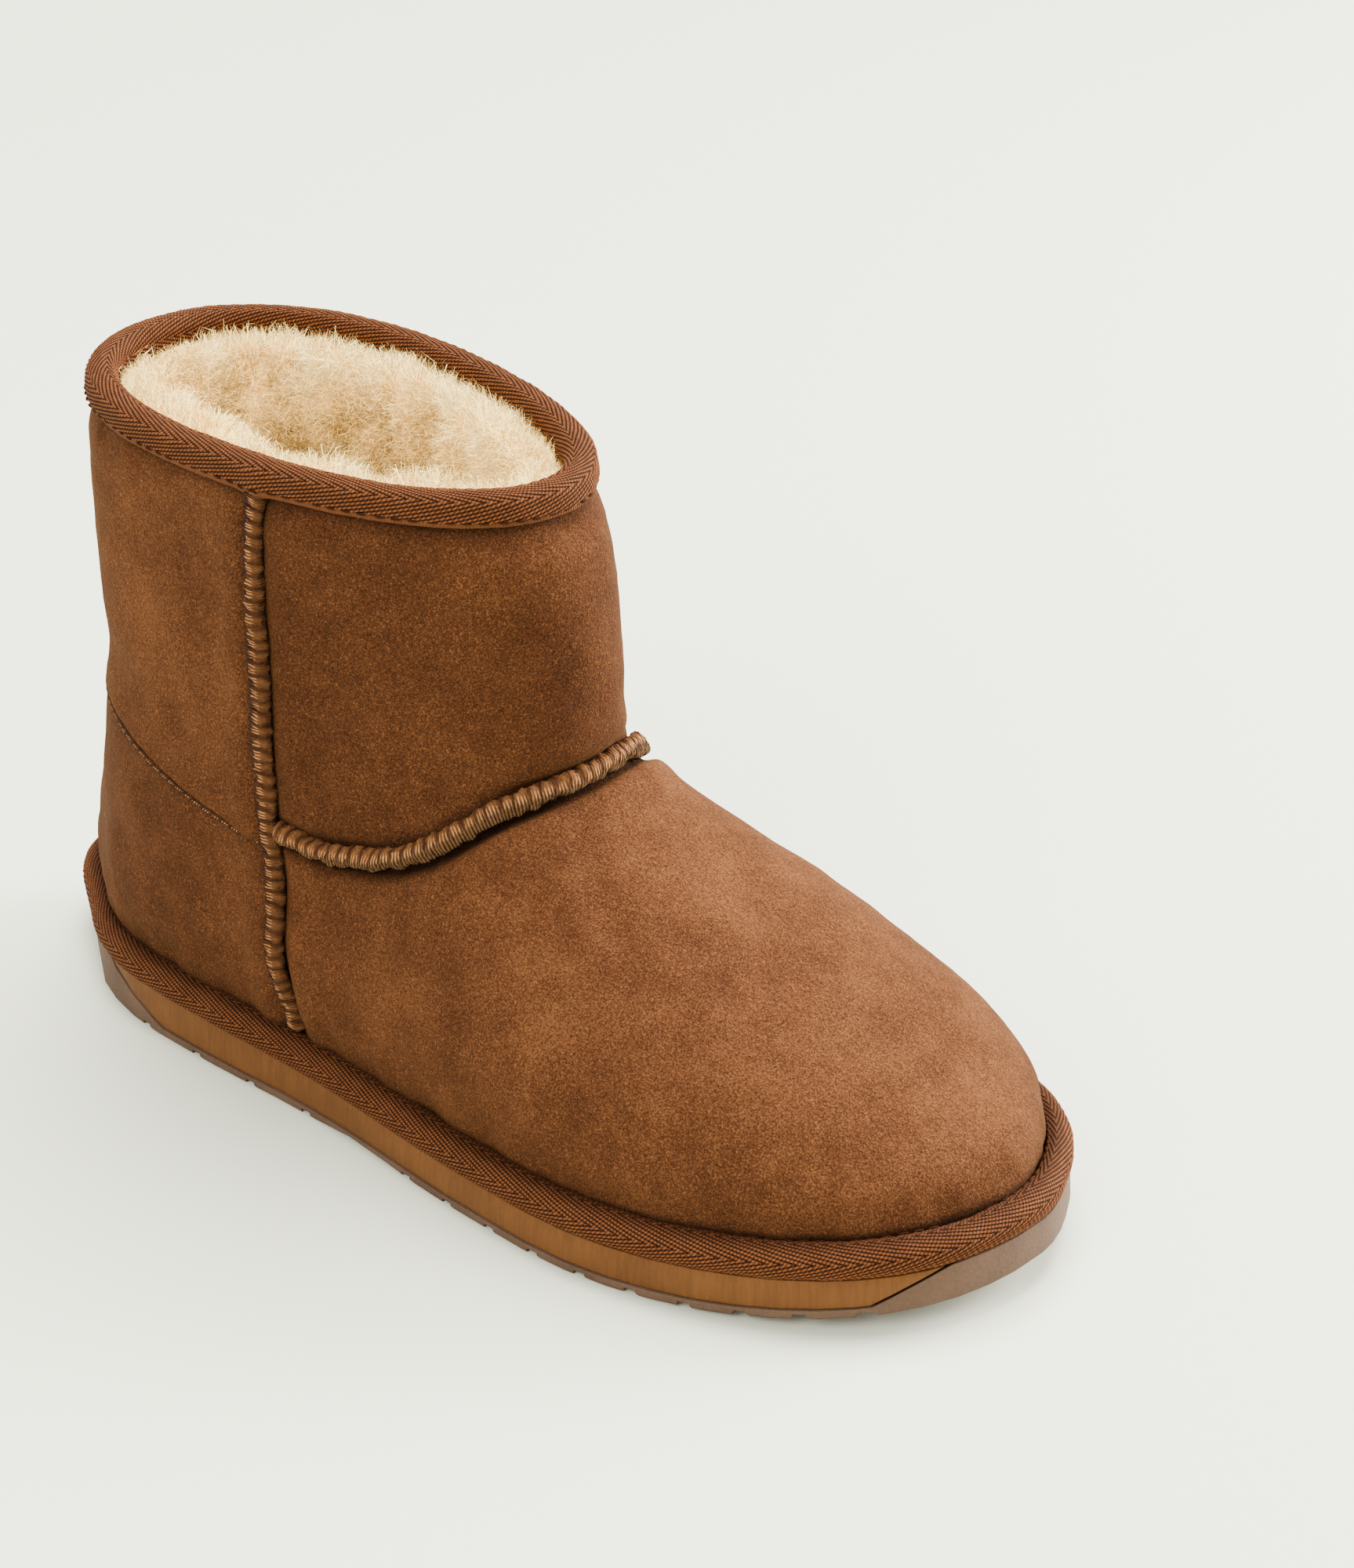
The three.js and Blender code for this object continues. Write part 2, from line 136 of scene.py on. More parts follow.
def lumps(points: np.ndarray, size: float, seed: float = 0.0) -> np.ndarray:
    """Soft lumpiness, from about -1 to 1.

    Args:
        points: Places in millimetres.
        size: Width of a lump.
        seed: Moves the pattern.

    Returns:
        One value for each place.
    """
    shift = Vector((seed, seed * 0.37, -seed * 0.71))
    return np.array([noise.noise(Vector(p) / size + shift) for p in points])


# ---------------------------------------------------------------- materials


class Level:
    """A value in a material. Arithmetic on it adds Math nodes."""

    def __init__(self, desk: "Desk", socket: bpy.types.NodeSocket) -> None:
        """Wraps an output socket of a desk's node tree."""
        self.desk = desk
        self.socket = socket

    def _math(self, operation: str, *values: "Level | float") -> "Level":
        """One Math node on the given values."""
        return self.desk.node("ShaderNodeMath", {"operation": operation}, dict(enumerate(values)))

    def __add__(self, other: "Level | float") -> "Level":
        """Sum."""
        return self._math("ADD", self, other)

    def __sub__(self, other: "Level | float") -> "Level":
        """Difference."""
        return self._math("SUBTRACT", self, other)

    def __rsub__(self, other: float) -> "Level":
        """Difference from a number."""
        return self._math("SUBTRACT", other, self)

    def __mul__(self, other: "Level | float") -> "Level":
        """Product."""
        return self._math("MULTIPLY", self, other)

    def __truediv__(self, other: "Level | float") -> "Level":
        """Quotient."""
        return self._math("DIVIDE", self, other)

    __radd__ = __add__
    __rmul__ = __mul__

    def wave(self) -> "Level":
        """A wave from 0 to 1 that repeats each whole number."""
        return self._math("SINE", self * (2 * math.pi)) * 0.5 + 0.5

    def fraction(self) -> "Level":
        """What is left over the whole number."""
        return self._math("FRACT", self)

    def size(self) -> "Level":
        """The value without its sign."""
        return self._math("ABSOLUTE", self)

    def between(self, low: float, high: float) -> "Level":
        """0 below low, 1 above high, soft in between."""
        settings = {"interpolation_type": "SMOOTHSTEP"}
        return self.desk.node("ShaderNodeMapRange", settings, {0: self, 1: low, 2: high})


class Desk:
    """A material under work. Every node comes from its one node method."""

    def __init__(self, name: str) -> None:
        """Starts an empty material.

        Args:
            name: The material's name.
        """
        self.material = bpy.data.materials.new(name)
        self.material.use_nodes = True
        self.tree = self.material.node_tree
        self.tree.nodes.clear()

    def node(
        self,
        kind: str,
        settings: dict | None = None,
        inputs: dict | None = None,
        output: int | str = 0,
    ) -> Level:
        """Adds a node.

        Args:
            kind: The node's type.
            settings: Its properties; stops gives a ramp's places and colours.
            inputs: Values or levels by socket name or number.
            output: The socket to hand on.

        Returns:
            The chosen output.
        """
        item = self.tree.nodes.new(kind)
        for key, value in (settings or {}).items():
            if key == "stops":
                ramp = item.color_ramp
                while len(ramp.elements) < len(value):
                    ramp.elements.new(1.0)
                for element, (place, colour) in zip(ramp.elements, value):
                    element.position = place
                    element.color = colour
            else:
                setattr(item, key, value)
        for key, value in (inputs or {}).items():
            if isinstance(value, Level):
                self.tree.links.new(value.socket, item.inputs[key])
            else:
                item.inputs[key].default_value = value
        return Level(self, item.outputs[output])

    def place(self) -> Level:
        """Object coordinates, in metres."""
        return self.node("ShaderNodeTexCoord", output="Object")

    def along_across(self) -> tuple[Level, Level]:
        """Reads the piece's own map.

        Returns:
            Millimetres along the piece and across it.
        """
        split = self.node("ShaderNodeUVMap", {"uv_map": "UVMap"})
        along = self.node("ShaderNodeSeparateXYZ", {}, {0: split}, "X")
        across = self.node("ShaderNodeSeparateXYZ", {}, {0: split}, "Y")
        return along, across

    def attribute(self, name: str) -> Level:
        """A number painted on the piece's points."""
        return self.node("ShaderNodeAttribute", {"attribute_name": name}, output="Fac")

    def speckle(self, size: float, detail: float = 2.0, where: Level | None = None) -> Level:
        """Cloudy noise.

        Args:
            size: Width of a cloud in millimetres.
            detail: Octaves of finer noise.
            where: Coordinates in metres, the object's own when left out.

        Returns:
            Values around a half.
        """
        inputs = {"Vector": where or self.place(), "Scale": 1000 / size, "Detail": detail}
        return self.node("ShaderNodeTexNoise", {}, inputs, "Fac")

    def stretched(self, x: float, y: float, z: float) -> Level:
        """Object coordinates squeezed along each axis, for streaks."""
        return self.node("ShaderNodeMapping", {}, {"Vector": self.place(), "Scale": (x, y, z)})

    def mix(self, share: Level | float, first: Level | Colour, second: Level | Colour) -> Level:
        """Goes from the first colour to the second."""
        settings = {"data_type": "RGBA", "clamp_factor": True}
        return self.node("ShaderNodeMix", settings, {0: share, 6: first, 7: second}, 2)

    def ramp(self, level: Level, stops: list[tuple[float, Colour]]) -> Level:
        """Colours along a value."""
        return self.node("ShaderNodeValToRGB", {"stops": stops}, {0: level})

    def bump(self, height: Level, depth: float, under: Level | None = None) -> Level:
        """Adds relief.

        Args:
            height: Values from 0 to 1.
            depth: What 1 stands for, in millimetres.
            under: Relief that this one lies on.

        Returns:
            The bent normal.
        """
        inputs = {"Height": height, "Distance": depth / 1000, "Strength": 1.0}
        if under:
            inputs["Normal"] = under
        return self.node("ShaderNodeBump", {}, inputs, "Normal")

    def finish(self, **sockets: "Level | float | Colour") -> bpy.types.Material:
        """Closes the material with one Principled shader.

        Args:
            sockets: Socket names with underscores for spaces, and their values or levels.

        Returns:
            The material.
        """
        inputs = {name.replace("_", " "): value for name, value in sockets.items()}
        shader = self.node("ShaderNodeBsdfPrincipled", {}, inputs)
        self.node_out(shader)
        return self.material

    def node_out(self, shader: Level) -> None:
        """Leads a shader to the material's output."""
        item = self.tree.nodes.new("ShaderNodeOutputMaterial")
        self.tree.links.new(shader.socket, item.inputs["Surface"])


@dataclass(frozen=True)
class SuedeFinish:
    """Chestnut suede: a fine nap, smoothed one way, with darker and golden specks, painted shade and
    painted light.
    """

    dark: Colour = linear(38, 19, 8)
    middle: Colour = linear(64, 36, 19)
    light: Colour = linear(97, 60, 34)
    gold: Colour = linear(128, 84, 50)
    painted_shade: Colour = linear(18, 8, 4)
    # Painted shade beside seams, tapes, folds and the collar.
    sheen: Colour = linear(230, 160, 90)
    cloud_size: float = 26
    patch_size: float = 7
    nap_size: float = 0.85
    hair_size: float = 0.38
    gold_share: float = 0.22
    nap_depth: float = 0.62
    patch_depth: float = 0.6

    def make(self) -> bpy.types.Material:
        """Makes the material.

        Returns:
            A suede that reads the points' shade attribute, painted shade that is 1 where it is darkest,
            and their painted light on upward faces.
        """
        desk = Desk("chestnut_suede")
        cloud, patch = desk.speckle(self.cloud_size, 3), desk.speckle(self.patch_size, 3)
        nap, hair = desk.speckle(self.nap_size, 3), desk.speckle(self.hair_size, 2)
        tone = cloud * 0.34 + patch * 0.24 + nap * 0.34 + hair * 1.05 - 0.48
        # Painted light on upward faces towards the toe, with panel tones and random clouds of tone.
        tone = tone + (desk.attribute("brushed") - 0.5) * 0.22
        stops = [(0.2, self.dark), (0.49, self.middle), (0.78, self.light)]
        colour = desk.ramp(tone, stops)
        glint = (hair * 0.7 + nap * 0.3).between(0.58, 0.72) * self.gold_share
        colour = desk.mix(glint, colour, self.gold)
        # Painted shade: the shade attribute darkens the suede towards the painted shade colour.
        shadow = desk.attribute("shade") * (0.75 + patch * 0.3)
        colour = desk.mix(shadow, colour, self.painted_shade)
        under = desk.bump(patch, self.patch_depth)
        relief = desk.bump(nap * 0.55 + hair * 0.45, self.nap_depth, under)
        return desk.finish(
            Base_Color=colour, Roughness=0.95, Normal=relief, Sheen_Weight=0.06,
            Sheen_Roughness=0.4, Sheen_Tint=self.sheen, Specular_IOR_Level=0.04,
        )


@dataclass(frozen=True)
class TwillFinish:
    """Herringbone twill tape: slanting ribs that turn back at each column, and a plain edge."""

    name: str
    length: float
    light: Colour = linear(112, 66, 36)
    rib: Colour = linear(74, 39, 19)
    # Painted shade in the grooves between the ribs and in the pits between the yarns.
    gap_shade: Colour = linear(12, 5, 3)
    edge: Colour = linear(86, 53, 31)
    shaded: Colour = linear(26, 11, 4)
    edge_width: float = 1.5
    column: float = 4.6
    slant: float = 0.25
    rib_pitch: float = 3.3
    bead: tuple[float, float] = (0.85, 2.4)
    dot: tuple[float, float] = (0.95, 1.3)
    selvedge_pitch: float = 0.75

    def repeats(self) -> float:
        """Rib pitch that closes on itself around the tape."""
        return self.length / round(self.length / self.rib_pitch)

    def make(self) -> bpy.types.Material:
        """Makes the material on the tape's own map.

        Returns:
            A twill that reads the points' shade attribute: 1 where it is dark.
        """
        desk = Desk(self.name)
        along, across = desk.along_across()
        fold = ((across - self.edge_width) / (2 * self.column)).fraction() - 0.5
        zigzag = fold.size() * (2 * self.column / self.slant)
        phase = (along + zigzag) / self.repeats()
        rib = phase.wave()
        bead = (along / self.bead[0] + across / self.bead[1]).wave()
        groove = 1 - rib.between(0.06, 0.5)
        dots = (along / self.dot[0] - across / self.dot[1]).wave()
        weave = (1 - groove * (0.5 + bead * 0.5)) * (0.4 + dots.between(0.15, 0.6) * 0.6)
        plain = 1 - (across - self.edge_width).between(-0.25, 0.1)
        wobble = desk.speckle(5, 2)
        fuzz = desk.speckle(0.7, 2)
        thread = desk.mix((rib * 0.6 + wobble * 0.6 + fuzz * 0.3 - 0.3), self.rib, self.light)
        # Painted shade in the grooves and pits of the weave.
        colour = desk.mix(weave, self.gap_shade, thread)
        cross_ribs = (along / self.selvedge_pitch).wave()
        selvedge = desk.mix(cross_ribs * 0.5 + fuzz * 0.4, self.rib, self.edge)
        colour = desk.mix(plain, colour, selvedge)
        # Painted shade beside the hide, from the shade attribute.
        colour = desk.mix(desk.attribute("shade"), colour, self.shaded)
        height = desk.mix(plain, weave, cross_ribs * 0.5 + 0.2)
        relief = desk.bump(fuzz, 0.12, desk.bump(height, 0.3))
        return desk.finish(
            Base_Color=colour, Roughness=0.85, Normal=relief, Specular_IOR_Level=0.05
        )


@dataclass(frozen=True)
class FoamFinish:
    """Ochre foam with a fine upright brush."""

    dark: Colour = linear(66, 38, 15)
    light: Colour = linear(104, 65, 29)
    brush_width: float = 0.9
    brush_shortness: float = 0.09

    def make(self) -> bpy.types.Material:
        """Makes the material.

        Returns:
            The foam.
        """
        desk = Desk("ochre_foam")
        brush = desk.speckle(self.brush_width, 3, desk.stretched(1, 1, self.brush_shortness))
        cloud = desk.speckle(18, 2)
        grain = desk.speckle(0.5, 2)
        colour = desk.mix(brush * 0.75 + cloud * 0.7 + grain * 0.25 - 0.4, self.dark, self.light)
        rough = 0.5 + brush * 0.25
        relief = desk.bump(brush * 0.7 + grain * 0.3, 0.16)
        return desk.finish(
            Base_Color=colour, Roughness=rough, Normal=relief, Specular_IOR_Level=0.1
        )


@dataclass(frozen=True)
class RubberFinish:
    """Tan moulded rubber, a little dusty."""

    dark: Colour = linear(60, 43, 32)
    light: Colour = linear(94, 71, 55)

    def make(self) -> bpy.types.Material:
        """Makes the material.

        Returns:
            The rubber.
        """
        desk = Desk("tan_rubber")
        cloud = desk.speckle(14, 3)
        grain = desk.speckle(0.8, 3)
        colour = desk.mix(cloud * 0.8 + grain * 0.7 - 0.3, self.dark, self.light)
        return desk.finish(
            Base_Color=colour, Roughness=0.62 + grain * 0.2, Normal=desk.bump(grain, 0.15),
            Specular_IOR_Level=0.15,
        )


@dataclass(frozen=True)
class FleeceFinish:
    """Cream wool, pale at the tips and ochre down between the tufts, partly its own darker roots and
    partly painted shade.
    """

    # Ochre at the roots: partly the wool's own colour, partly painted shade between the tufts and deep in
    # the boot.
    root: Colour = linear(128, 92, 44)
    body: Colour = linear(248, 198, 104)
    tip: Colour = linear(255, 228, 148)
    # Strength of painted light: the wool emits light of its own colour, though it is no lamp.
    painted_glow: float = 0.95

    def make_bed(self) -> bpy.types.Material:
        """Makes the dense wool under the tufts.

        Returns:
            A material that reads the points' painted light: 1 on the top of a lump, 0 deep down where
            painted shade falls.
        """
        desk = Desk("fleece_bed")
        tuft = desk.speckle(4.5, 3)
        curl = desk.speckle(1.1, 3)
        # Painted light on the tops of the lumps, painted shade in the hollows and deep down.
        tone = desk.attribute("crown") * 0.5 + tuft * 0.4 + curl * 0.3 - 0.1
        colour = desk.ramp(tone, [(0.2, self.root), (0.5, self.body), (0.85, self.tip)])
        relief = desk.bump(curl, 0.9, desk.bump(tuft, 1.6))
        # The wool emits light of its own colour: painted light.
        return desk.finish(
            Base_Color=colour, Roughness=1.0, Normal=relief, Specular_IOR_Level=0.0,
            Emission_Color=colour, Emission_Strength=self.painted_glow,
        )

    def make_tufts(self) -> bpy.types.Material:
        """Makes the standing wool.

        Returns:
            A material whose map gives each fibre's tone, and runs from its root to its tip.
        """
        desk = Desk("fleece_tufts")
        tone, reach = desk.along_across()
        # Root to tip: ochre roots, partly the wool's own colour and partly painted shade, to pale tips.
        stops = [(0.0, self.root), (0.3, self.body), (0.75, self.tip)]
        colour = desk.ramp(reach * 0.8 + tone * 0.45 - 0.12, stops)
        # The fibres emit light of their own colour: painted light.
        return desk.finish(
            Base_Color=colour, Roughness=1.0, Specular_IOR_Level=0.0, Emission_Color=colour,
            Emission_Strength=self.painted_glow,
        )


@dataclass(frozen=True)
class CordFinish:
    """Overlocked seam cord: thread wraps over the raw edges of two hides, with a painted highlight on its
    crest and painted shade between its wraps and under it.
    """

    name: str
    edge: Colour
    wrap: Colour
    # Painted highlight on the threads along the cord's outward crest.
    glint: Colour = linear(184, 128, 80)
    # Painted shade between the wraps, in the dips between lumps and under the cord.
    gap_shade: Colour = linear(26, 12, 6)
    # Painted shade between the lumps of the raw edges.
    edge_dark: Colour = linear(56, 30, 13)
    pitch: float = 2.9
    turn: float = 1.0

    def make(self) -> bpy.types.Material:
        """Makes the material.

        Returns:
            A material whose map gives millimetres along the cord and turns around it.
        """
        desk = Desk(self.name)
        along, around = desk.along_across()
        fuzz = desk.speckle(0.6, 2)
        cloud = desk.speckle(4.5, 2)
        drift = cloud * 0.9
        lump = ((along / self.pitch) + around * self.turn + drift).wave()
        thread = (along / (self.pitch / 4) + around * (self.turn * 2)).wave()
        side = (around + cloud * 0.12 - 0.06).between(0.44, 0.6)
        # The raw edges are darker between their lumps: painted shade.
        edge = desk.mix(lump * 0.7 + fuzz * 0.5 - 0.1, self.edge_dark, self.edge)
        wraps = desk.mix(thread * 0.7 + fuzz * 0.5 - 0.15, self.gap_shade, self.wrap)
        colour = desk.mix(side, edge, wraps)
        # Painted highlight on the threads along the outward crest.
        crest = 1 - ((around - 0.5).size()).between(0.03, 0.09)
        strand = crest * thread.between(0.5, 0.8) * lump.between(0.1, 0.4)
        colour = desk.mix(strand * (0.3 + cloud * 0.6), colour, self.glint)
        # Painted shade in the dips between lumps, and from the shade attribute under the cord.
        dip = (1 - lump.between(0.0, 0.16)) * cloud.between(0.3, 0.6)
        colour = desk.mix(dip * 0.45, colour, self.gap_shade)
        colour = desk.mix(desk.attribute("shade"), colour, self.gap_shade)
        relief = desk.bump(fuzz, 0.25, desk.bump(thread, 0.35))
        return desk.finish(
            Base_Color=colour, Roughness=0.9, Normal=relief, Specular_IOR_Level=0.08
        )


@dataclass(frozen=True)
class ThreadFinish:
    """Dark sewing thread."""

    dark: Colour = linear(22, 10, 4)
    light: Colour = linear(52, 27, 12)

    def make(self) -> bpy.types.Material:
        """Makes the material.

        Returns:
            The thread.
        """
        desk = Desk("dark_thread")
        twist = desk.speckle(0.5, 2)
        colour = desk.mix(twist, self.dark, self.light)
        return desk.finish(
            Base_Color=colour, Roughness=0.85, Normal=desk.bump(twist, 0.1),
            Specular_IOR_Level=0.03,
        )


# ---------------------------------------------------------------- mesh tools


class Bench:
    """Mesh work shared by the pieces."""

    def __init__(self, nodes: dict[str, bpy.types.Object]) -> None:
        """Keeps the frame's nodes.

        Args:
            nodes: The frame's objects by name.
        """
        self.nodes = nodes

    @staticmethod
    def clear_selection() -> None:
        """Selects nothing."""
        for item in bpy.context.selected_objects:
            item.select_set(False)

    def take(self, item: bpy.types.Object) -> None:
        """Makes one object the only selected and active one.

        Args:
            item: The object.
        """
        self.clear_selection()
        item.select_set(True)
        bpy.context.view_layer.objects.active = item

    def edit(self, item: bpy.types.Object, *steps: tuple) -> None:
        """Runs edit-mode operators on all of a piece.

        Args:
            item: The piece.
            steps: Pairs of an operator of bpy.ops.mesh and its settings.
        """
        self.take(item)
        bpy.ops.object.mode_set(mode="EDIT")
        bpy.ops.mesh.select_all(action="SELECT")
        for operator, settings in steps:
            operator(**settings)
        bpy.ops.object.mode_set(mode="OBJECT")

    def finish(self, item: bpy.types.Object, kind: str, **settings: object) -> None:
        """Adds a modifier and applies it.

        Args:
            item: The piece.
            kind: The modifier's type.
            settings: Its properties.
        """
        modifier = item.modifiers.new(kind.lower(), kind)
        for key, value in settings.items():
            setattr(modifier, key, value)
        self.take(item)
        bpy.ops.object.modifier_apply(modifier=modifier.name)

    def copy(self, node: str, name: str) -> bpy.types.Object:
        """Copies a frame node's mesh and merges its points.

        Args:
            node: The frame node.
            name: The new piece's name.

        Returns:
            The new piece.
        """
        item = bpy.data.objects.new(name, self.nodes[node].data.copy())
        item.data.materials.clear()
        bpy.context.scene.collection.objects.link(item)
        self.edit(item, (bpy.ops.mesh.remove_doubles, {"threshold": 2e-5}))
        return item

    @staticmethod
    def points(item: bpy.types.Object) -> np.ndarray:
        """Reads a piece's points.

        Args:
            item: The piece.

        Returns:
            Its points in boot millimetres.
        """
        flat = np.zeros(len(item.data.vertices) * 3, np.float32)
        item.data.vertices.foreach_get("co", flat)
        return BOOT.to_boot(flat.reshape(-1, 3))

    @staticmethod
    def move(item: bpy.types.Object, points: np.ndarray) -> None:
        """Sets a piece's points from boot millimetres."""
        item.data.vertices.foreach_set("co", BOOT.to_frame(points).astype(np.float32).ravel())
        item.data.update()

    @staticmethod
    def normals(item: bpy.types.Object) -> np.ndarray:
        """Reads the outward directions at a piece's points.

        Args:
            item: The piece.

        Returns:
            One unit direction for each point.
        """
        flat = np.zeros(len(item.data.vertices) * 3, np.float32)
        item.data.vertex_normals.foreach_get("vector", flat)
        return flat.reshape(-1, 3).astype(float)

    @staticmethod
    def paint(item: bpy.types.Object, name: str, values: np.ndarray) -> None:
        """Stores a number from 0 to 1 at each point."""
        layer = item.data.attributes.new(name, "FLOAT", "POINT")
        layer.data.foreach_set("value", np.clip(values, 0, 1).astype(np.float32))

    @staticmethod
    def tree(*items: bpy.types.Object) -> BVHTree:
        """Makes a search tree over pieces.

        Args:
            items: The pieces.

        Returns:
            The tree, in frame metres.
        """
        points: list[Vector] = []
        faces: list[tuple[int, ...]] = []
        for item in items:
            start = len(points)
            points.extend(vertex.co.copy() for vertex in item.data.vertices)
            faces.extend(tuple(start + i for i in face.vertices) for face in item.data.polygons)
        return BVHTree.FromPolygons(points, faces)

    def wrap(self, name: str, grid: np.ndarray, chart: np.ndarray) -> bpy.types.Object:
        """Lays a grid plane on rows of points.

        Args:
            name: The piece's name.
            grid: Rows by columns of boot places.
            chart: The same rows and columns of map values.

        Returns:
            The piece, smooth, with its map and with edges that meet merged.
        """
        rows, columns = grid.shape[:2]
        self.clear_selection()
        bpy.ops.mesh.primitive_grid_add(
            x_subdivisions=columns - 1, y_subdivisions=rows - 1, size=1.0, calc_uvs=True
        )
        item = bpy.context.active_object
        item.name = name
        item.data.name = name
        self.move(item, grid.reshape(-1, 3))
        corners = np.zeros(len(item.data.loops), np.int32)
        item.data.loops.foreach_get("vertex_index", corners)
        layer = item.data.uv_layers[0]
        layer.name = "UVMap"
        layer.data.foreach_set("uv", chart.reshape(-1, 2)[corners].astype(np.float32).ravel())
        self.edit(item, (bpy.ops.mesh.remove_doubles, {"threshold": 2e-6}))
        item.data.shade_smooth()
        return item


def dress(item: bpy.types.Object, look: bpy.types.Material, slot: str, *nodes: str) -> None:
    """Gives a piece its finish and its place in the frame.

    Args:
        item: The piece.
        look: Its material.
        slot: A material slot's name; not used.
        nodes: Frame nodes that it stands for.
    """
    item.data.materials.clear()
    item.data.materials.append(look)
    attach(item, "root")
    if nodes:
        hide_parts(*nodes)
    faces = sum(len(face.vertices) - 2 for face in item.data.polygons)
    LOG.info("%s: %d triangles", item.name, faces)


# ---------------------------------------------------------------- routes on the upper


class Side(Enum):
    """The two sides of the foot."""

    OUTER = "outer"
    INNER = "inner"


@dataclass
class Route:
    """A smooth line on the hide, with the hide's outward direction at each point."""

    points: np.ndarray
    outward: np.ndarray

    @property
    def lengths(self) -> np.ndarray:
        """Distance along the line at each point."""
        steps = np.linalg.norm(np.diff(self.points, axis=0), axis=1)
        return np.concatenate([[0], np.cumsum(steps)])

    @property
    def heading(self) -> np.ndarray:
        """Unit direction along the line."""
        heading = np.gradient(self.points, axis=0)
        return heading / np.linalg.norm(heading, axis=1, keepdims=True)


def even(points: np.ndarray, step: float) -> np.ndarray:
    """Spreads points evenly along a line.

    Args:
        points: The line.
        step: Distance between the new points.

    Returns:
        The new line, with the old ends.
    """
    lengths = np.concatenate([[0], np.cumsum(np.linalg.norm(np.diff(points, axis=0), axis=1))])
    count = max(int(round(lengths[-1] / step)), 2)
    places = np.linspace(0, lengths[-1], count + 1)
    return np.stack([np.interp(places, lengths, points[:, k]) for k in range(3)], axis=1)


def soften(points: np.ndarray, width: float, ring: bool = False) -> np.ndarray:
    """Evens out a line or ring of points with a bell-shaped average.

    Args:
        points: Rows of values.
        width: Width of the bell, in points.
        ring: Whether the last point is followed by the first.

    Returns:
        The softened rows.
    """
    reach = int(3 * width) + 1
    bell = np.exp(-((np.arange(-reach, reach + 1) / width) ** 2) / 2)
    bell /= bell.sum()
    if ring:
        padded = np.concatenate([points[-reach:], points, points[:reach]])
    else:
        before = 2 * points[0] - points[reach:0:-1]
        after = 2 * points[-1] - points[-2 : -reach - 2 : -1]
        padded = np.concatenate([before, points, after])
    columns = [np.convolve(padded[:, k], bell, "valid") for k in range(points.shape[1])]
    return np.stack(columns, axis=1)


@dataclass
class SeamPlan:
    """Routes of the seams, as places near the hide in boot millimetres."""

    middle: float = 1.5
    side_seam: Rows = (
        (100.6, -44, 147.5), (100.3, -44, 140), (100, -44, 125), (100, -44, 105),
        (100, -44, 85), (100.4, -44, 68), (101.0, -44, 55), (101.6, -44, 47),
        (102.8, -44, 33), (104.0, -44, 22), (104.6, -44, 17),
    )
    front_seam: Rows = (
        (101.5, -44, 67.4), (106, -44, 66.3), (110, -44, 65.7), (121, -43, 67.4),
        (131.7, -41, 70.4), (138.5, -37.5, 72.9), (145, -33, 76.4), (151, -23, 80.4),
        (157.5, -12, 84.2), (161.4, 0, 86.2), (160, 10, 86.0), (155, 22, 82.6),
        (147, 32, 77.8), (139, 39, 73.6), (131, 43, 70.6), (121, 46, 67.6),
        (110, 47, 65.8), (101.5, 47, 66.6),
    )
    counter_seam: Rows = (
        (14, 1, 81.5), (17, -12, 81.0), (25, -24, 79.6), (38, -33, 76.8), (52, -39, 73.2),
        (66, -42, 69.4), (80, -43, 65.6), (92, -44, 62.6), (100, -44, 61.2),
    )
    counter_inner: Rows = (
        (14, 1, 81.5), (17, 13, 81.0), (25, 26, 79.6), (38, 36, 76.8), (52, 42, 73.2),
        (66, 45, 69.4), (80, 46, 65.6), (92, 47, 62.6), (100, 47, 61.2),
    )

    def side(self, side: Side) -> Rows:
        """The side seam of one side, mirrored about the upper's own middle for the inner one."""
        inner = tuple((x, 2 * self.middle - y, z) for x, y, z in self.side_seam)
        return self.side_seam if side is Side.OUTER else inner

    def counter(self, side: Side) -> Rows:
        """The counter's upper edge on one side."""
        return self.counter_seam if side is Side.OUTER else self.counter_inner

    def on_hide(self, rows: Rows, hide: BVHTree, step: float) -> Route:
        """Lays a route on the hide.

        Args:
            rows: Places near the hide.
            hide: Search tree of the hide.
            step: Distance between the route's points.

        Returns:
            The route.
        """
        line = soften(even(np.array(rows, float), 1.0), 3.0)
        for _ in range(2):
            found = [hide.find_nearest(Vector(BOOT.to_frame(p)))[0] for p in line]
            line = soften(even(BOOT.to_boot(np.array(found)), 1.0), 2.0)
        line = even(line, step)
        hits = [hide.find_nearest(Vector(BOOT.to_frame(p))) for p in line]
        outward = soften(np.array([hit[1] for hit in hits], float), 2.5 / step)
        outward /= np.linalg.norm(outward, axis=1, keepdims=True)
        return Route(soften(BOOT.to_boot(np.array([hit[0] for hit in hits])), 1 / step), outward)


def gaps(points: np.ndarray, routes: list[Route]) -> tuple[np.ndarray, np.ndarray]:
    """Distance from each place to the nearest of some routes.

    Args:
        points: Places.
        routes: The routes.

    Returns:
        The distances, and how far each place lies above the nearest point.
    """
    spots = np.concatenate([route.points[::2] for route in routes])
    search = KDTree(len(spots))
    for i, spot in enumerate(spots):
        search.insert(Vector(spot), i)
    search.balance()
    found = [search.find(Vector(p)) for p in points]
    distance = np.array([hit[2] for hit in found])
    above = points[:, 2] - np.array([hit[0][2] for hit in found])
    return distance, above


# ---------------------------------------------------------------- upper


@dataclass(frozen=True)
class Fold:
    """A soft trough in the hide, or a ridge where its depth is negative."""

    route: Rows
    width: float
    depth: float


@dataclass(frozen=True)
class Bell:
    """A soft rise across a line: its height, its width and how far off the line it lies."""

    height: float
    width: float
    middle: float = 0.0

    def at(self, distance: np.ndarray) -> np.ndarray:
        """The rise at each distance."""
        return self.height * hump(distance, self.middle, self.width)


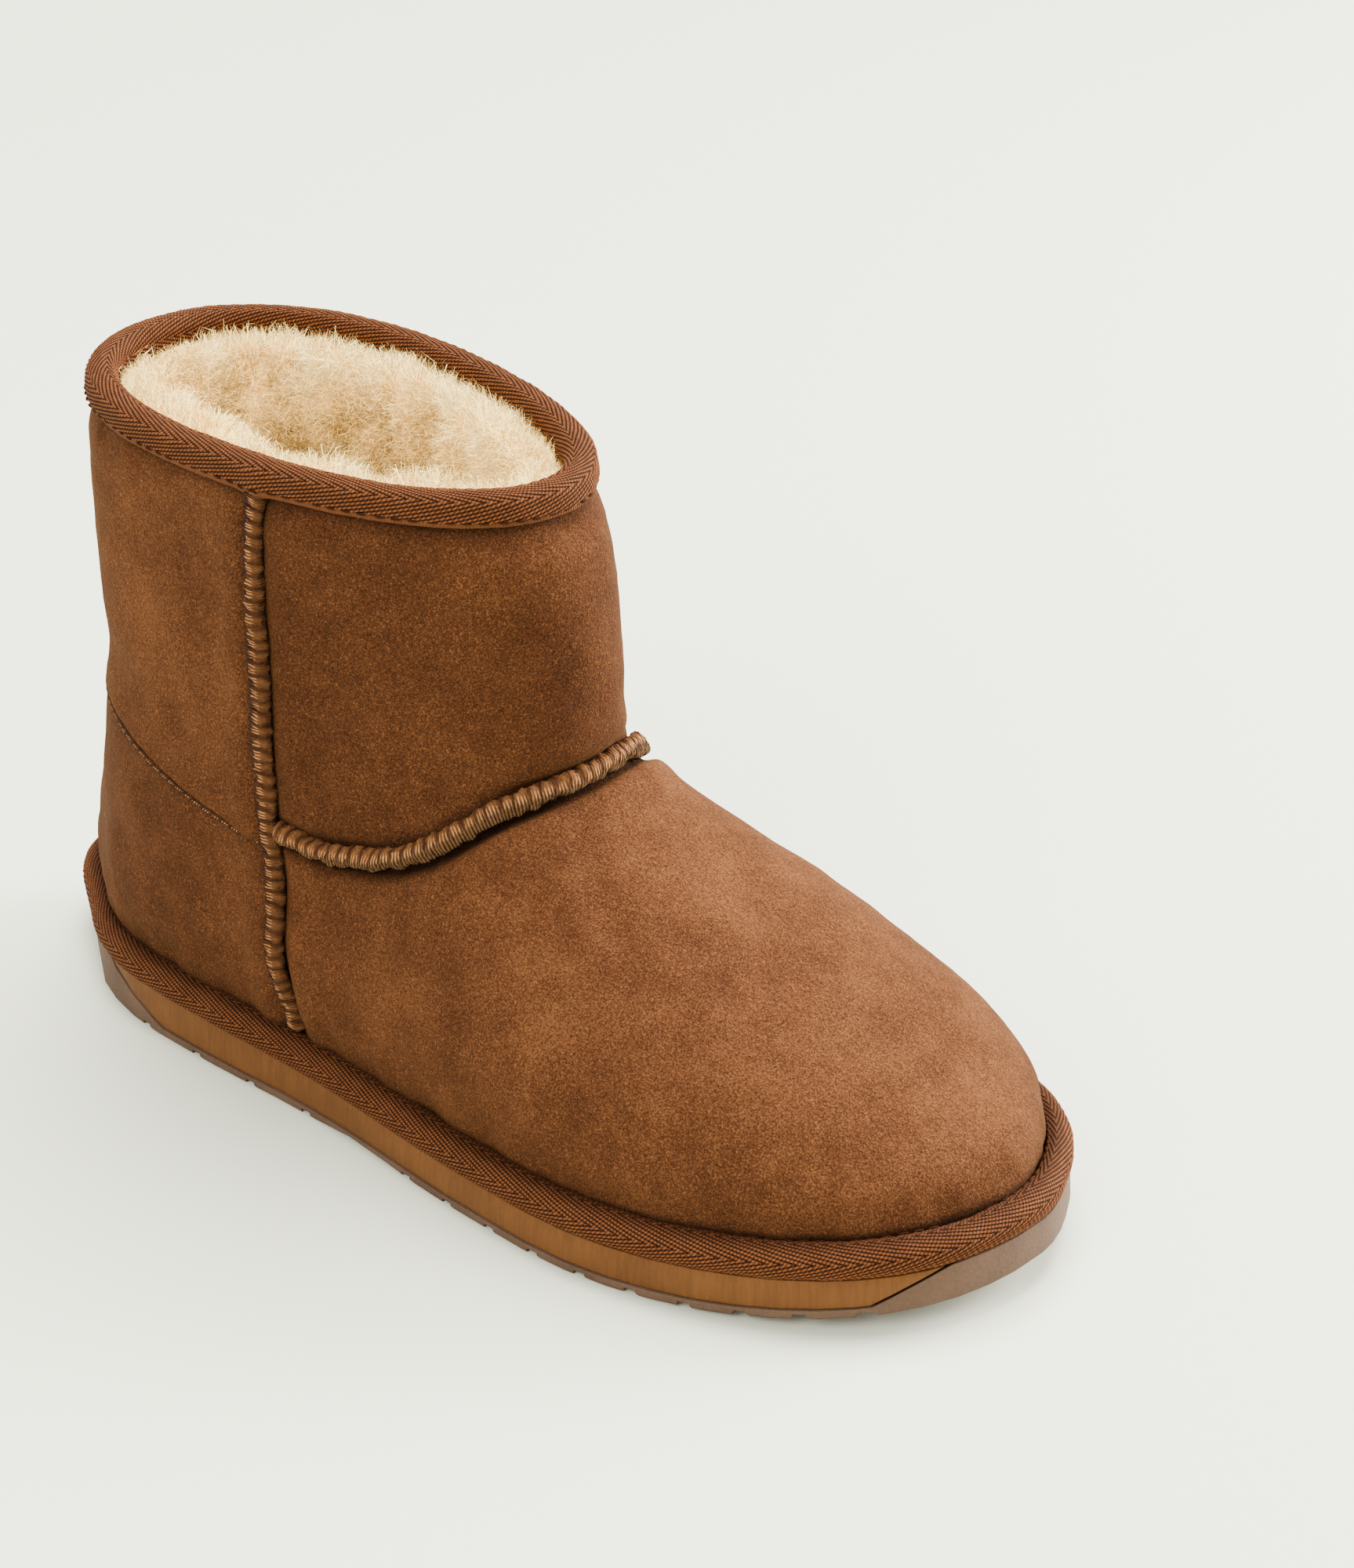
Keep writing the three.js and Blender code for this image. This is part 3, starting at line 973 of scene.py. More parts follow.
@dataclass
class SuedeUpper:
    """The boot's outer hide, with the creases of its making."""

    bench: Bench
    plan: SeamPlan
    tape_height: float = 6.6
    collar_drop: float = 5.6
    thinning: float = 0.94
    cord_step: float = 0.36
    counter_step: float = 0.6
    hide_ends: tuple[float, float] = (2.6, 1.2)
    seam_trough: Bell = Bell(-1.5, 2.8)
    seam_puff: Bell = Bell(1.1, 4.2, 7.0)
    vamp_tuck: Bell = Bell(-1.4, 1.6, 2.9)
    counter_lap: Bell = Bell(0.55, 5)
    counter_dip: Bell = Bell(-0.5, 1.2)
    tape_lap: Bell = Bell(0.6, 2.4, 1.0)
    tape_puff: Bell = Bell(1.3, 5.5, 7.5)
    tape_pucker: Bell = Bell(0.7, 6, 2.5)
    collar_dip: Bell = Bell(-0.7, 2.4)
    collar_puff: Bell = Bell(0.7, 4, 6.5)
    collar_pucker: Bell = Bell(0.55, 6, 2)
    # Painted shade: height and width of the darkening beside the seams, the front seam's tuck, the sole
    # tape, the collar and the counter.
    seam_shade: Bell = Bell(0.85, 2.9)
    seam_wide_shade: Bell = Bell(0.12, 8)
    tuck_shade: Bell = Bell(0.8, 1.3, 2.6)
    tape_shade: Bell = Bell(0.7, 1.3)
    tape_wide_shade: Bell = Bell(0.2, 7)
    collar_shade: Bell = Bell(0.6, 1.8)
    counter_shade: Bell = Bell(0.25, 1.5)
    seam_x: float = 100.0
    folds: tuple[Fold, ...] = (
        Fold(((112, -41, 71.5), (124, -41, 74), (134, -38, 78), (143, -32, 82)), 1.5, 0.7),
        Fold(((118, -41, 76), (130, -38.5, 80), (141, -33, 85.5)), 1.8, 0.35),
        Fold(((150, 24, 88), (140, 36, 80), (128, 42, 75)), 1.8, 0.5),
        Fold(((172, -16, 78), (182, -22, 70), (194, -27, 61), (203, -30, 53)), 4.5, 0.7),
        Fold(((168, -30, 66), (178, -36, 57), (190, -40, 48)), 6.0, 0.6),
        Fold(((196, 6, 69), (206, 0, 64), (214, -9, 59)), 5.0, 0.5),
        Fold(((24, -12, 92), (36, -26, 90), (52, -34, 88), (70, -38, 87)), 6.0, 0.9),
        Fold(((22, 14, 94), (34, 30, 91), (52, 38, 89), (72, 42, 88)), 6.0, 0.9),
        Fold(((16, 2, 88), (20, -12, 87), (20, 14, 87)), 6.0, 0.7),
        Fold(((126, -40, 134), (134, -38, 120), (140, -36, 104), (144, -34, 92)), 8.0, 0.7),
        Fold(((66, -40, 138), (62, -40, 122), (64, -40, 106)), 7.0, 0.5),
        Fold(((80, -41, 118), (84, -41, 104), (90, -41, 94)), 5.0, 0.45),
        Fold(((160, 10, 130), (158, -8, 118), (160, 4, 104)), 9.0, -0.6),
        Fold(((224, -30, 40), (236, -22, 40), (246, -10, 39)), 6.0, 0.5),
        Fold(((150, -48, 32), (166, -50, 34), (182, -50, 32)), 6.0, -0.6),
        Fold(((48, -38, 44), (62, -40, 38), (78, -41, 36)), 7.0, 0.6),
    )
    unevenness: Rows = ((34, 0.9, 2.0), (11, 0.32, 5.0), (3.4, 0.1, 7.0))
    routes: dict[str, Route] = field(default_factory=dict)

    @staticmethod
    def split(item: bpy.types.Object, keep_outer: bool) -> None:
        """Keeps only the outer or only the inner face of the hollow upper.

        Args:
            item: A merged copy of the upper.
            keep_outer: Which face stays.
        """
        shell = bmesh.new()
        shell.from_mesh(item.data)
        edges = set()
        for face in shell.faces:
            level = BOOT.to_boot(np.array(face.calc_center_median()))[2]
            if abs(face.normal.z) > 0.9 and (level > 147.5 or level < 18.5):
                edges.add(face)
        seed = max(shell.faces, key=lambda face: abs(face.calc_center_median().y))
        outer, front = {seed}, [seed]
        while front:
            face = front.pop()
            for edge in face.edges:
                for near in edge.link_faces:
                    if near not in outer and near not in edges:
                        outer.add(near)
                        front.append(near)
        drop = [f for f in shell.faces if (f in outer) != keep_outer or f in edges]
        bmesh.ops.delete(shell, geom=drop, context="FACES")
        shell.to_mesh(item.data)
        shell.free()

    @staticmethod
    def trim(item: bpy.types.Object, low: float, high: float) -> None:
        """Drops the hide that lies hidden behind the tapes.

        Args:
            item: The hide.
            low: Height above the sole tape's foot where the hide starts.
            high: Depth below the rim where it ends.
        """
        shell = bmesh.new()
        shell.from_mesh(item.data)
        drop = []
        for face in shell.faces:
            x, _, z = BOOT.to_boot(np.array(face.calc_center_median()))
            if z < BOOT.welt_foot(x) + low or z > BOOT.rim(x) - high:
                drop.append(face)
        bmesh.ops.delete(shell, geom=drop, context="FACES")
        shell.to_mesh(item.data)
        shell.free()

    def shape(self, item: bpy.types.Object) -> None:
        """Presses the seams, tapes and folds into the hide, paints shade beside them, and paints light on
        its upward faces.

        Args:
            item: The hide.
        """
        points, outward = self.bench.points(item), self.bench.normals(item)
        x, z = points[:, 0], points[:, 2]
        cords = [self.routes[name] for name in ("outer_side", "inner_side", "front")]
        near, _ = gaps(points, cords)
        front, above = gaps(points, [self.routes["front"]])
        thin, below = gaps(points, [self.routes["outer_counter"], self.routes["inner_counter"]])
        height = z - BOOT.welt_foot(x) - self.tape_height
        drop = BOOT.rim(x) - self.collar_drop - z
        under = smooth_step(-above, 0, 1.5)
        upright = points * [1, 1, 0.35]
        lift = self.seam_trough.at(near) + self.seam_puff.at(near)
        lift += self.vamp_tuck.at(front) * under
        lift += self.counter_lap.at(thin) * smooth_step(below, -0.5, 0.5)
        lift += self.counter_dip.at(thin)
        lift += self.tape_lap.at(height) + self.tape_puff.at(height)
        lift += self.tape_pucker.at(height) * lumps(upright, 5.5, 4.0)
        lift += self.collar_dip.at(drop) + self.collar_puff.at(drop)
        lift += self.collar_pucker.at(drop) * lumps(upright, 7, 9.0)
        for fold in self.folds:
            line = soften(even(np.array(fold.route, float), 1.0), 3.0)
            away, _ = gaps(points, [Route(line, line)])
            lift -= fold.depth * hump(away, 0, fold.width)
        for size, amount, seed in self.unevenness:
            lift += amount * lumps(points, size, seed)
        self.bench.move(item, points + outward * lift[:, None])
        # Painted shade beside the seams, under the front seam, at the counter's edge, above the sole tape
        # and below the collar.
        dark = self.seam_shade.at(near) + self.seam_wide_shade.at(near)
        dark += self.tuck_shade.at(front) * under + self.counter_shade.at(thin)
        beside = np.maximum(height, 0)
        dark += self.tape_shade.at(beside) + self.tape_wide_shade.at(beside)
        dark += self.collar_shade.at(np.maximum(drop, 0))
        self.bench.paint(item, "shade", dark)
        # Painted light: the hide is lighter where it faces up, towards the toe. It is also lighter above
        # the heel counter and darker on the counter and above the front seam, with random clouds of tone.
        lit = smooth_step(outward[:, 2], -0.1, 0.85) * smooth_step(x, 120, 160)
        back = smooth_step(self.seam_x - x, -1, 1)
        panel = back * (0.16 * smooth_step(below, -1, 1) - 0.12 * smooth_step(-below, -1, 1))
        panel -= 0.16 * smooth_step(above, -1, 1) * smooth_step(x, 99, 101)
        cloud = 0.12 * lumps(points, 22, 21.0)
        self.bench.paint(item, "brushed", 0.42 + 0.36 * lit + panel + cloud)

    def build(self, look: bpy.types.Material) -> bpy.types.Object:
        """Builds the hide.

        Args:
            look: The suede.

        Returns:
            The hide.
        """
        item = self.bench.copy("upper", "upper_suede")
        self.split(item, keep_outer=True)
        self.bench.edit(item, (bpy.ops.mesh.tris_convert_to_quads, {}))
        self.bench.finish(item, "SUBSURF", levels=2, render_levels=2)
        self.trim(item, *self.hide_ends)
        hide, plan = self.bench.tree(item), self.plan
        for side in Side:
            cord, edge = plan.side(side), plan.counter(side)
            self.routes[f"{side.value}_side"] = plan.on_hide(cord, hide, self.cord_step)
            self.routes[f"{side.value}_counter"] = plan.on_hide(edge, hide, self.counter_step)
        self.routes["front"] = plan.on_hide(plan.front_seam, hide, self.cord_step)
        self.bench.finish(item, "SUBSURF", levels=1, render_levels=1)
        self.bench.finish(item, "DECIMATE", ratio=self.thinning)
        self.shape(item)
        item.data.shade_smooth()
        dress(item, look, "suede", "upper")
        return item


@dataclass
class SeamCord:
    """A rope-like overlocked seam that stands proud of the hide."""

    bench: Bench
    name: str
    route: Route
    pitch: float = 2.9
    radius: float = 2.35
    proud: float = 0.75
    sides: int = 20
    seed: float = 0.0
    drift: float = 0.22
    wander: float = 0.35
    roughness: float = 0.75
    fuzz: float = 0.4
    strand: float = 0.08

    def build(self, look: bpy.types.Material) -> bpy.types.Object:
        """Builds the cord.

        Args:
            look: The cord's material.

        Returns:
            The cord.
        """
        path, outward, heading = self.route.points, self.route.outward, self.route.heading
        sideways = np.cross(heading, outward)
        sideways /= np.linalg.norm(sideways, axis=1, keepdims=True)
        along = self.route.lengths
        turn = np.linspace(0, 1, self.sides + 1)
        angle = 2 * math.pi * (turn - 0.5)
        drift = self.drift * lumps(path, 6, self.seed + 17)[:, None]
        phase = along[:, None] / self.pitch + turn[None, :] + drift
        lump = np.abs(np.sin(math.pi * phase)) ** 0.55
        thread = np.sin(2 * math.pi * (along[:, None] / (self.pitch / 4) + 2 * turn[None, :]))
        spots = path[:, None, :] + (outward[:, None, :] * np.cos(angle)[None, :, None]
                                    + sideways[:, None, :] * np.sin(angle)[None, :, None]) * 2.2
        rough = lumps(spots.reshape(-1, 3), 2.4, self.seed).reshape(phase.shape)
        fine = lumps(spots.reshape(-1, 3), 0.9, self.seed + 3).reshape(phase.shape)
        size = self.radius * (0.85 + 0.1 * lump) + self.roughness * rough
        size += self.fuzz * fine + self.strand * thread
        size[:, -1] = size[:, 0]
        taper = np.clip(np.minimum(along, along[-1] - along) / 1.5, 0.35, 1)[:, None]
        size = size * taper
        wander = self.wander * lumps(path, 9, self.seed + 11)[:, None]
        middle = path + outward * self.proud + sideways * wander
        ring = outward[:, None, :] * (np.cos(angle)[None, :] * size)[..., None]
        ring = ring + sideways[:, None, :] * (np.sin(angle)[None, :] * size * 1.06)[..., None]
        grid = middle[:, None, :] + ring
        chart = np.stack(np.broadcast_arrays(along[:, None], turn[None, :]), axis=-1)
        item = self.bench.wrap(self.name, grid, chart)
        self.bench.edit(item, (bpy.ops.mesh.normals_make_consistent, {"inside": False}))
        # Painted shade on the cord's underside, where it meets the hide.
        core, _ = gaps(self.bench.points(item), [Route(path - outward * 0.6, outward)])
        self.bench.paint(item, "shade", 0.9 * hump(core, 0.8, 1.1))
        dress(item, look, "suede")
        return item


@dataclass
class FlatSeam:
    """The thin sewn edge of the heel counter."""

    bench: Bench
    name: str
    route: Route
    width: float = 0.75

    def build(self, look: bpy.types.Material) -> bpy.types.Object:
        """Builds the edge as a low, slightly frayed bead.

        Args:
            look: The edge's material.

        Returns:
            The edge.
        """
        path, outward, heading = self.route.points, self.route.outward, self.route.heading
        sideways = np.cross(heading, outward)
        turn = np.linspace(0, 1, 9)
        angle = 2 * math.pi * (turn - 0.5)
        size = self.width * (0.8 + 0.3 * lumps(path, 2.1, 8.0) + 0.12 * lumps(path, 0.8, 2.0))
        ring = outward[:, None, :] * (np.cos(angle)[None, :] * size[:, None] * 0.7)[..., None]
        ring = ring + sideways[:, None, :] * (np.sin(angle)[None, :] * size[:, None])[..., None]
        grid = (path + outward * 0.12)[:, None, :] + ring
        along = self.route.lengths
        chart = np.stack(np.broadcast_arrays(along[:, None], turn[None, :]), axis=-1)
        item = self.bench.wrap(self.name, grid, chart)
        self.bench.edit(item, (bpy.ops.mesh.normals_make_consistent, {"inside": False}))
        self.bench.paint(item, "shade", np.zeros(len(item.data.vertices)))
        dress(item, look, "suede")
        return item


# ---------------------------------------------------------------- tapes


@dataclass
class Tape:
    """A folded twill tape that runs right round the boot."""

    bench: Bench
    node: str
    name: str
    look_name: str
    middle: tuple[float, float]
    spread: float
    aim: float
    centre: tuple[float, float]
    sweep: tuple[float, float]
    step: float = 0.7
    rows: int = 50
    rib_height: float = 0.3
    edge_width: float = 1.5
    edges: tuple[float, float] = (0.9, 0.6)
    stitch_at: float = 1.5
    stitch_from_top: bool = False
    over_seam: float = 0.0
    probe: float = 14.0
    seam_spots: Rows = ((100.2, -38.5, 146.5), (100.2, 42.5, 146.5))
    stitch_pitch: float = 3.7
    stitch_half: float = 1.15
    stitch_thick: float = 0.3

    def foot(self, x: np.ndarray) -> np.ndarray:
        """Height that the section's sizes are measured from."""
        return BOOT.rim(x) if self.node == "collar_binding" else BOOT.welt_foot(x)

    def ring(self, tree: BVHTree) -> tuple[np.ndarray, np.ndarray]:
        """Finds the line around the tape's outer face, and its outward directions.

        Args:
            tree: Search tree of the frame's tape.

        Returns:
            Places and level unit directions, evenly spaced.
        """
        found = []
        for turn in np.linspace(0, 2 * math.pi, 720, endpoint=False):
            away = np.array([math.cos(turn), math.sin(turn), 0.0])
            base = np.array([self.middle[0] + self.spread * away[0], self.middle[1], 0.0])
            hit = None
            x = base[0] + 60 * away[0]
            for _ in range(3):
                level = float(self.foot(np.array(x))) + self.aim
                start = base + away * 200 + np.array([0, 0, level])
                hit = tree.ray_cast(Vector(BOOT.to_frame(start)), Vector(-away))[0]
                x = BOOT.to_boot(np.array(hit))[0]
            found.append(BOOT.to_boot(np.array(hit)))
        line = np.array(found)
        line = soften(even(np.concatenate([line, line[:1]]), 0.5)[:-1], 8, ring=True)
        line = even(np.concatenate([line, line[:1]]), self.step)[:-1]
        heading = np.roll(line, -1, axis=0) - np.roll(line, 1, axis=0)
        outward = np.stack([heading[:, 1], -heading[:, 0], np.zeros(len(line))], axis=1)
        outward = soften(outward, 4 / self.step, ring=True)
        return line, outward / np.linalg.norm(outward, axis=1, keepdims=True)

    def section(self, tree: BVHTree, line: np.ndarray, outward: np.ndarray) -> np.ndarray:
        """Reads the tape's outer face around its section at each place.

        Args:
            tree: Search tree of the frame's tape.
            line: The line around the tape.
            outward: Its outward directions.

        Returns:
            Rows of places from the tape's lower outer edge, over it, to its other edge.
        """
        angles = np.radians(np.linspace(self.sweep[0], self.sweep[1], self.rows))
        up = np.array([0, 0, 1.0])
        middles = line + outward * self.centre[0]
        middles[:, 2] = self.foot(line[:, 0]) + self.centre[1]
        grid = np.zeros((self.rows, len(line), 3))
        reach = np.zeros((self.rows, len(line)))
        for r, angle in enumerate(angles):
            for i, (middle, out) in enumerate(zip(middles, outward)):
                away = out * math.cos(angle) + up * math.sin(angle)
                start = Vector(BOOT.to_frame(middle + away * self.probe))
                hit = tree.ray_cast(start, Vector(-away), self.probe / 1000)[0]
                reach[r, i] = np.nan if hit is None else (hit - start).length * 1000
            lost = np.isnan(reach[r])
            reach[r, lost] = np.nan if lost.all() else np.nanmedian(reach[r])
        for r in range(self.rows):
            if np.isnan(reach[r]).any():
                reach[r] = reach[r - 1]
        reach = soften(reach.T, 5 / self.step, ring=True).T
        for r, angle in enumerate(angles):
            away = outward * math.cos(angle) + up * math.sin(angle)
            grid[r] = middles + away * (self.probe - reach[r])[:, None]
        return grid

    def even_rows(self, grid: np.ndarray) -> tuple[np.ndarray, np.ndarray]:
        """Spaces the rows evenly across the tape.

        Args:
            grid: Rows of places.

        Returns:
            The new rows, and the width across the tape at each row.
        """
        steps = np.linalg.norm(np.diff(grid, axis=0), axis=2)
        across = np.concatenate([np.zeros((1, grid.shape[1])), np.cumsum(steps, axis=0)])
        fresh = np.zeros_like(grid)
        share = np.linspace(0, 1, self.rows)
        for i in range(grid.shape[1]):
            places = share * across[-1, i]
            for k in range(3):
                fresh[:, i, k] = np.interp(places, across[:, i], grid[:, i, k])
        return fresh, share * float(across[-1].mean())

    def build(self) -> tuple[bpy.types.Object, bpy.types.Object]:
        """Builds the tape and the line of stitches that holds it.

        Returns:
            The tape and its stitches.
        """
        tree = self.bench.tree(self.bench.nodes[self.node])
        line, outward = self.ring(tree)
        grid, across = self.even_rows(self.section(tree, line, outward))
        steps = np.linalg.norm(np.roll(line, -1, axis=0) - line, axis=1)
        along = np.concatenate([[0], np.cumsum(steps)])
        look = TwillFinish(self.look_name, float(along[-1]), edge_width=self.edge_width)
        face = np.cross(np.roll(grid, -1, axis=1) - np.roll(grid, 1, axis=1),
                        np.gradient(grid, axis=0))
        face /= np.linalg.norm(face, axis=2, keepdims=True)
        if (face[self.rows // 3] * outward).sum() < 0:
            face = -face
        u, v = along[:-1][None, :], across[:, None]
        fold = np.abs(((v - look.edge_width) / (2 * look.column)) % 1 - 0.5) * 2 * look.column
        phase = (u + fold / look.slant) / look.repeats()
        rib = self.rib_height * (0.5 + 0.5 * np.sin(2 * math.pi * phase)) ** 0.7
        rib = np.where(v < look.edge_width, -0.15, rib)
        spots = grid.reshape(-1, 3)
        wave = 0.22 * lumps(spots, 9, 1.0) + 0.1 * lumps(spots, 2.2, 6.0)
        for spot in self.seam_spots:
            away = np.linalg.norm(spots - np.array(spot), axis=1)
            wave += self.over_seam * hump(away, 0, 4.0)
        grid = grid + face * (rib + wave.reshape(rib.shape))[..., None]
        first = grid[0] - face[0] * self.edges[0]
        last = grid[-1] - face[-1] * self.edges[1]
        grid = np.concatenate([first[None], grid, last[None]])
        grid = np.concatenate([grid, grid[:, :1]], axis=1)
        across_all = np.concatenate([[across[0] - 0.2], across, [across[-1] + 0.2]])
        chart = np.stack(np.broadcast_arrays(along[None, :], across_all[:, None]), axis=-1)
        item = self.bench.wrap(self.name, grid, chart)
        if self.facing(item, outward, line) < 0:
            self.bench.edit(item, (bpy.ops.mesh.flip_normals, {}))
        self.bench.paint(item, "shade", self.shade(self.bench.points(item)))
        dress(item, look.make(), "tape", self.node)
        place = across[-1] - self.stitch_at if self.stitch_from_top else self.stitch_at
        row = int(np.argmin(np.abs(across - place))) + 1
        stitches = self.sew(grid[row, :-1], face[row - 1])
        return item, stitches

    @staticmethod
    def facing(item: bpy.types.Object, outward: np.ndarray, line: np.ndarray) -> float:
        """Tells whether a piece's faces point outwards.

        Args:
            item: The piece.
            outward: Outward directions around the boot.
            line: The line around the boot.

        Returns:
            More than 0 where they point away from the boot's middle.
        """
        flat = np.zeros(len(item.data.polygons) * 3, np.float32)
        item.data.polygons.foreach_get("normal", flat)
        spots = np.zeros_like(flat)
        item.data.polygons.foreach_get("center", spots)
        normals, spots = flat.reshape(-1, 3), BOOT.to_boot(spots.reshape(-1, 3))
        reach = np.linalg.norm(spots[:, :2] - line[:, :2].mean(axis=0), axis=1)
        far = reach > np.median(reach)
        away = spots[far, :2] - line[:, :2].mean(axis=0)
        return float((normals[far, :2] * away).sum() + 0.5 * normals[:, 2].sum())

    def shade(self, points: np.ndarray) -> np.ndarray:
        """Works out where painted shade darkens the tape beside the hide.

        Args:
            points: Places on the tape.

        Returns:
            Darkness from 0 to 1.
        """
        height = points[:, 2] - self.foot(points[:, 0])
        if self.node == "collar_binding":
            return 0.5 * hump(height, -6.2, 0.9)
        return 0.55 * hump(height, 7.1, 1.0)

    def sew(self, line: np.ndarray, face: np.ndarray) -> bpy.types.Object:
        """Lays a dark stitch every few millimetres along a line on the tape.

        Args:
            line: The line.
            face: The tape's outward directions there.

        Returns:
            All the stitches as one piece.
        """
        self.bench.clear_selection()
        bpy.ops.mesh.primitive_uv_sphere_add(segments=8, ring_count=6, radius=1.0)
        stitch = bpy.context.active_object
        shape = np.array([vertex.co for vertex in stitch.data.vertices])
        faces = [tuple(face.vertices) for face in stitch.data.polygons]
        bpy.data.objects.remove(stitch)
        count = int((len(line) - 1) * self.step / self.stitch_pitch)
        points, polygons = [], []
        for n in range(count):
            i = int(round(n * self.stitch_pitch / self.step)) % len(line)
            ahead = line[(i + 2) % len(line)] - line[i - 2]
            ahead /= np.linalg.norm(ahead)
            side = np.cross(face[i], ahead)
            place = line[i] + face[i] * 0.08
            start = len(points)
            for a, b, c in shape:
                thread = (side * a + face[i] * b) * self.stitch_thick
                points.append(place + ahead * (c * self.stitch_half) + thread)
            polygons.extend(tuple(start + k for k in polygon) for polygon in faces)
        mesh = bpy.data.meshes.new(self.name + "_stitches")
        mesh.from_pydata(BOOT.to_frame(np.array(points)).tolist(), [], polygons)
        item = bpy.data.objects.new(mesh.name, mesh)
        bpy.context.scene.collection.objects.link(item)
        self.bench.edit(item, (bpy.ops.mesh.normals_make_consistent, {"inside": False}))
        mesh.shade_smooth()
        return item


# ---------------------------------------------------------------- fleece


@dataclass
class Fleece:
    """The wool inside the boot: a lumpy bed, and standing tufts around the mouth."""

    bench: Bench
    finish: FleeceFinish
    fibres: int = 62000
    pieces: int = 2
    leaders: int = 330
    seed: int = 11
    deepest: float = 160.0
    rise: float = 7.0
    swell: float = 11.5
    foot_swell: float = 1.5
    big_lump: tuple[float, float] = (14, 4.4)
    small_lump: tuple[float, float] = (5.0, 1.4)
    insole_lumps: Rows = ((9, 0.9, 13.0), (3.5, 0.5, 16.0))
    length: tuple[float, float] = (3.8, 1.2)
    half_width: tuple[float, float] = (0.045, 0.085)

    def bed(self) -> bpy.types.Object:
        """Builds the wool's bed from the upper's inner face.

        Returns:
            The bed, with its depth below the rim painted on its points.
        """
        item = self.bench.copy("upper", "fleece_lining")
        SuedeUpper.split(item, keep_outer=False)
        self.bench.edit(item, (bpy.ops.mesh.tris_convert_to_quads, {}))
        self.bench.finish(item, "SUBSURF", levels=2, render_levels=2)
        points, inward = self.bench.points(item), self.bench.normals(item)
        depth = BOOT.rim(points[:, 0]) - points[:, 2]
        full = smooth_step(depth, 7.5, 12.5)
        swell = self.swell * full * (1 - smooth_step(depth, 40, 75))
        swell += self.foot_swell * smooth_step(depth, 50, 80)
        swell *= 1 - 0.5 * smooth_step(depth, 15, 30)
        big, small = lumps(points, self.big_lump[0], 3.0), lumps(points, self.small_lump[0], 6.0)
        tuft = self.big_lump[1] * big + self.small_lump[1] * small
        low = smooth_step(points[:, 2], 22, 32)
        moved = points + inward * ((swell + tuft * full) * low)[:, None]
        moved[:, 2] += (self.rise + 2.2 * big) * full * (1 - smooth_step(depth, 12, 30))
        self.bench.move(item, moved)
        # Painted light on the tops of the lumps; painted shade deep down in the boot.
        deep = 1.1 * smooth_step(depth, 13, 30)
        self.bench.paint(item, "crown", 0.7 + 0.6 * big + 0.5 * small - deep)
        self.bench.paint(item, "depth", depth / self.deepest)
        item.data.shade_smooth()
        dress(item, self.finish.make_bed(), "fleece")
        return item

    def insole(self) -> bpy.types.Object:
        """Builds the loose sheepskin insole.

        Returns:
            The insole.
        """
        item = self.bench.copy("insole", "fleece_insole")
        self.bench.finish(item, "SUBSURF", levels=3, render_levels=3, subdivision_type="SIMPLE")
        points, outward = self.bench.points(item), self.bench.normals(item)
        (big_size, big_amount, big_seed), (size, amount, seed) = self.insole_lumps
        big, small = lumps(points, big_size, big_seed), lumps(points, size, seed)
        top = smooth_step(outward[:, 2], 0.3, 0.8)
        lift = (big_amount * big + amount * small) * top
        self.bench.move(item, points + outward * lift[:, None])
        # Painted light on the tops of the lumps.
        self.bench.paint(item, "crown", 0.45 + 0.6 * big + 0.5 * small)
        item.data.shade_smooth()
        dress(item, self.finish.make_bed(), "fleece", "insole")
        return item

    def roots(self, bed: bpy.types.Object, dice: np.random.Generator) -> tuple[np.ndarray, ...]:
        """Scatters roots over the bed, thick at the mouth and thin further down.

        Args:
            bed: The bed.
            dice: Seeded random numbers.

        Returns:
            Places and inward directions of the roots, and their depths below the rim.
        """
        mesh = bed.data
        mesh.calc_loop_triangles()
        corners = np.zeros(len(mesh.loop_triangles) * 3, np.int32)
        mesh.loop_triangles.foreach_get("vertices", corners)
        corners = corners.reshape(-1, 3)
        points, inward = self.bench.points(bed), self.bench.normals(bed)
        a, b, c = (points[corners[:, k]] for k in range(3))
        area = np.linalg.norm(np.cross(b - a, c - a), axis=1) / 2
        depths = np.zeros(len(points), np.float32)
        mesh.attributes["depth"].data.foreach_get("value", depths)
        depth = depths[corners].mean(axis=1) * self.deepest
        dense = smooth_step(depth, 7.0, 8.5) * (0.1 + 0.9 * (1 - smooth_step(depth, 30, 55)))
        dense *= 1 - smooth_step(depth, 84, 100)
        chance = area * dense
        chosen = dice.choice(len(area), self.fibres * self.pieces, p=chance / chance.sum())
        s, t = dice.random(len(chosen)), dice.random(len(chosen))
        over = s + t > 1
        s[over], t[over] = 1 - s[over], 1 - t[over]
        spot = a[chosen] + (b - a)[chosen] * s[:, None] + (c - a)[chosen] * t[:, None]
        return spot, inward[corners[chosen, 0]], depth[chosen]

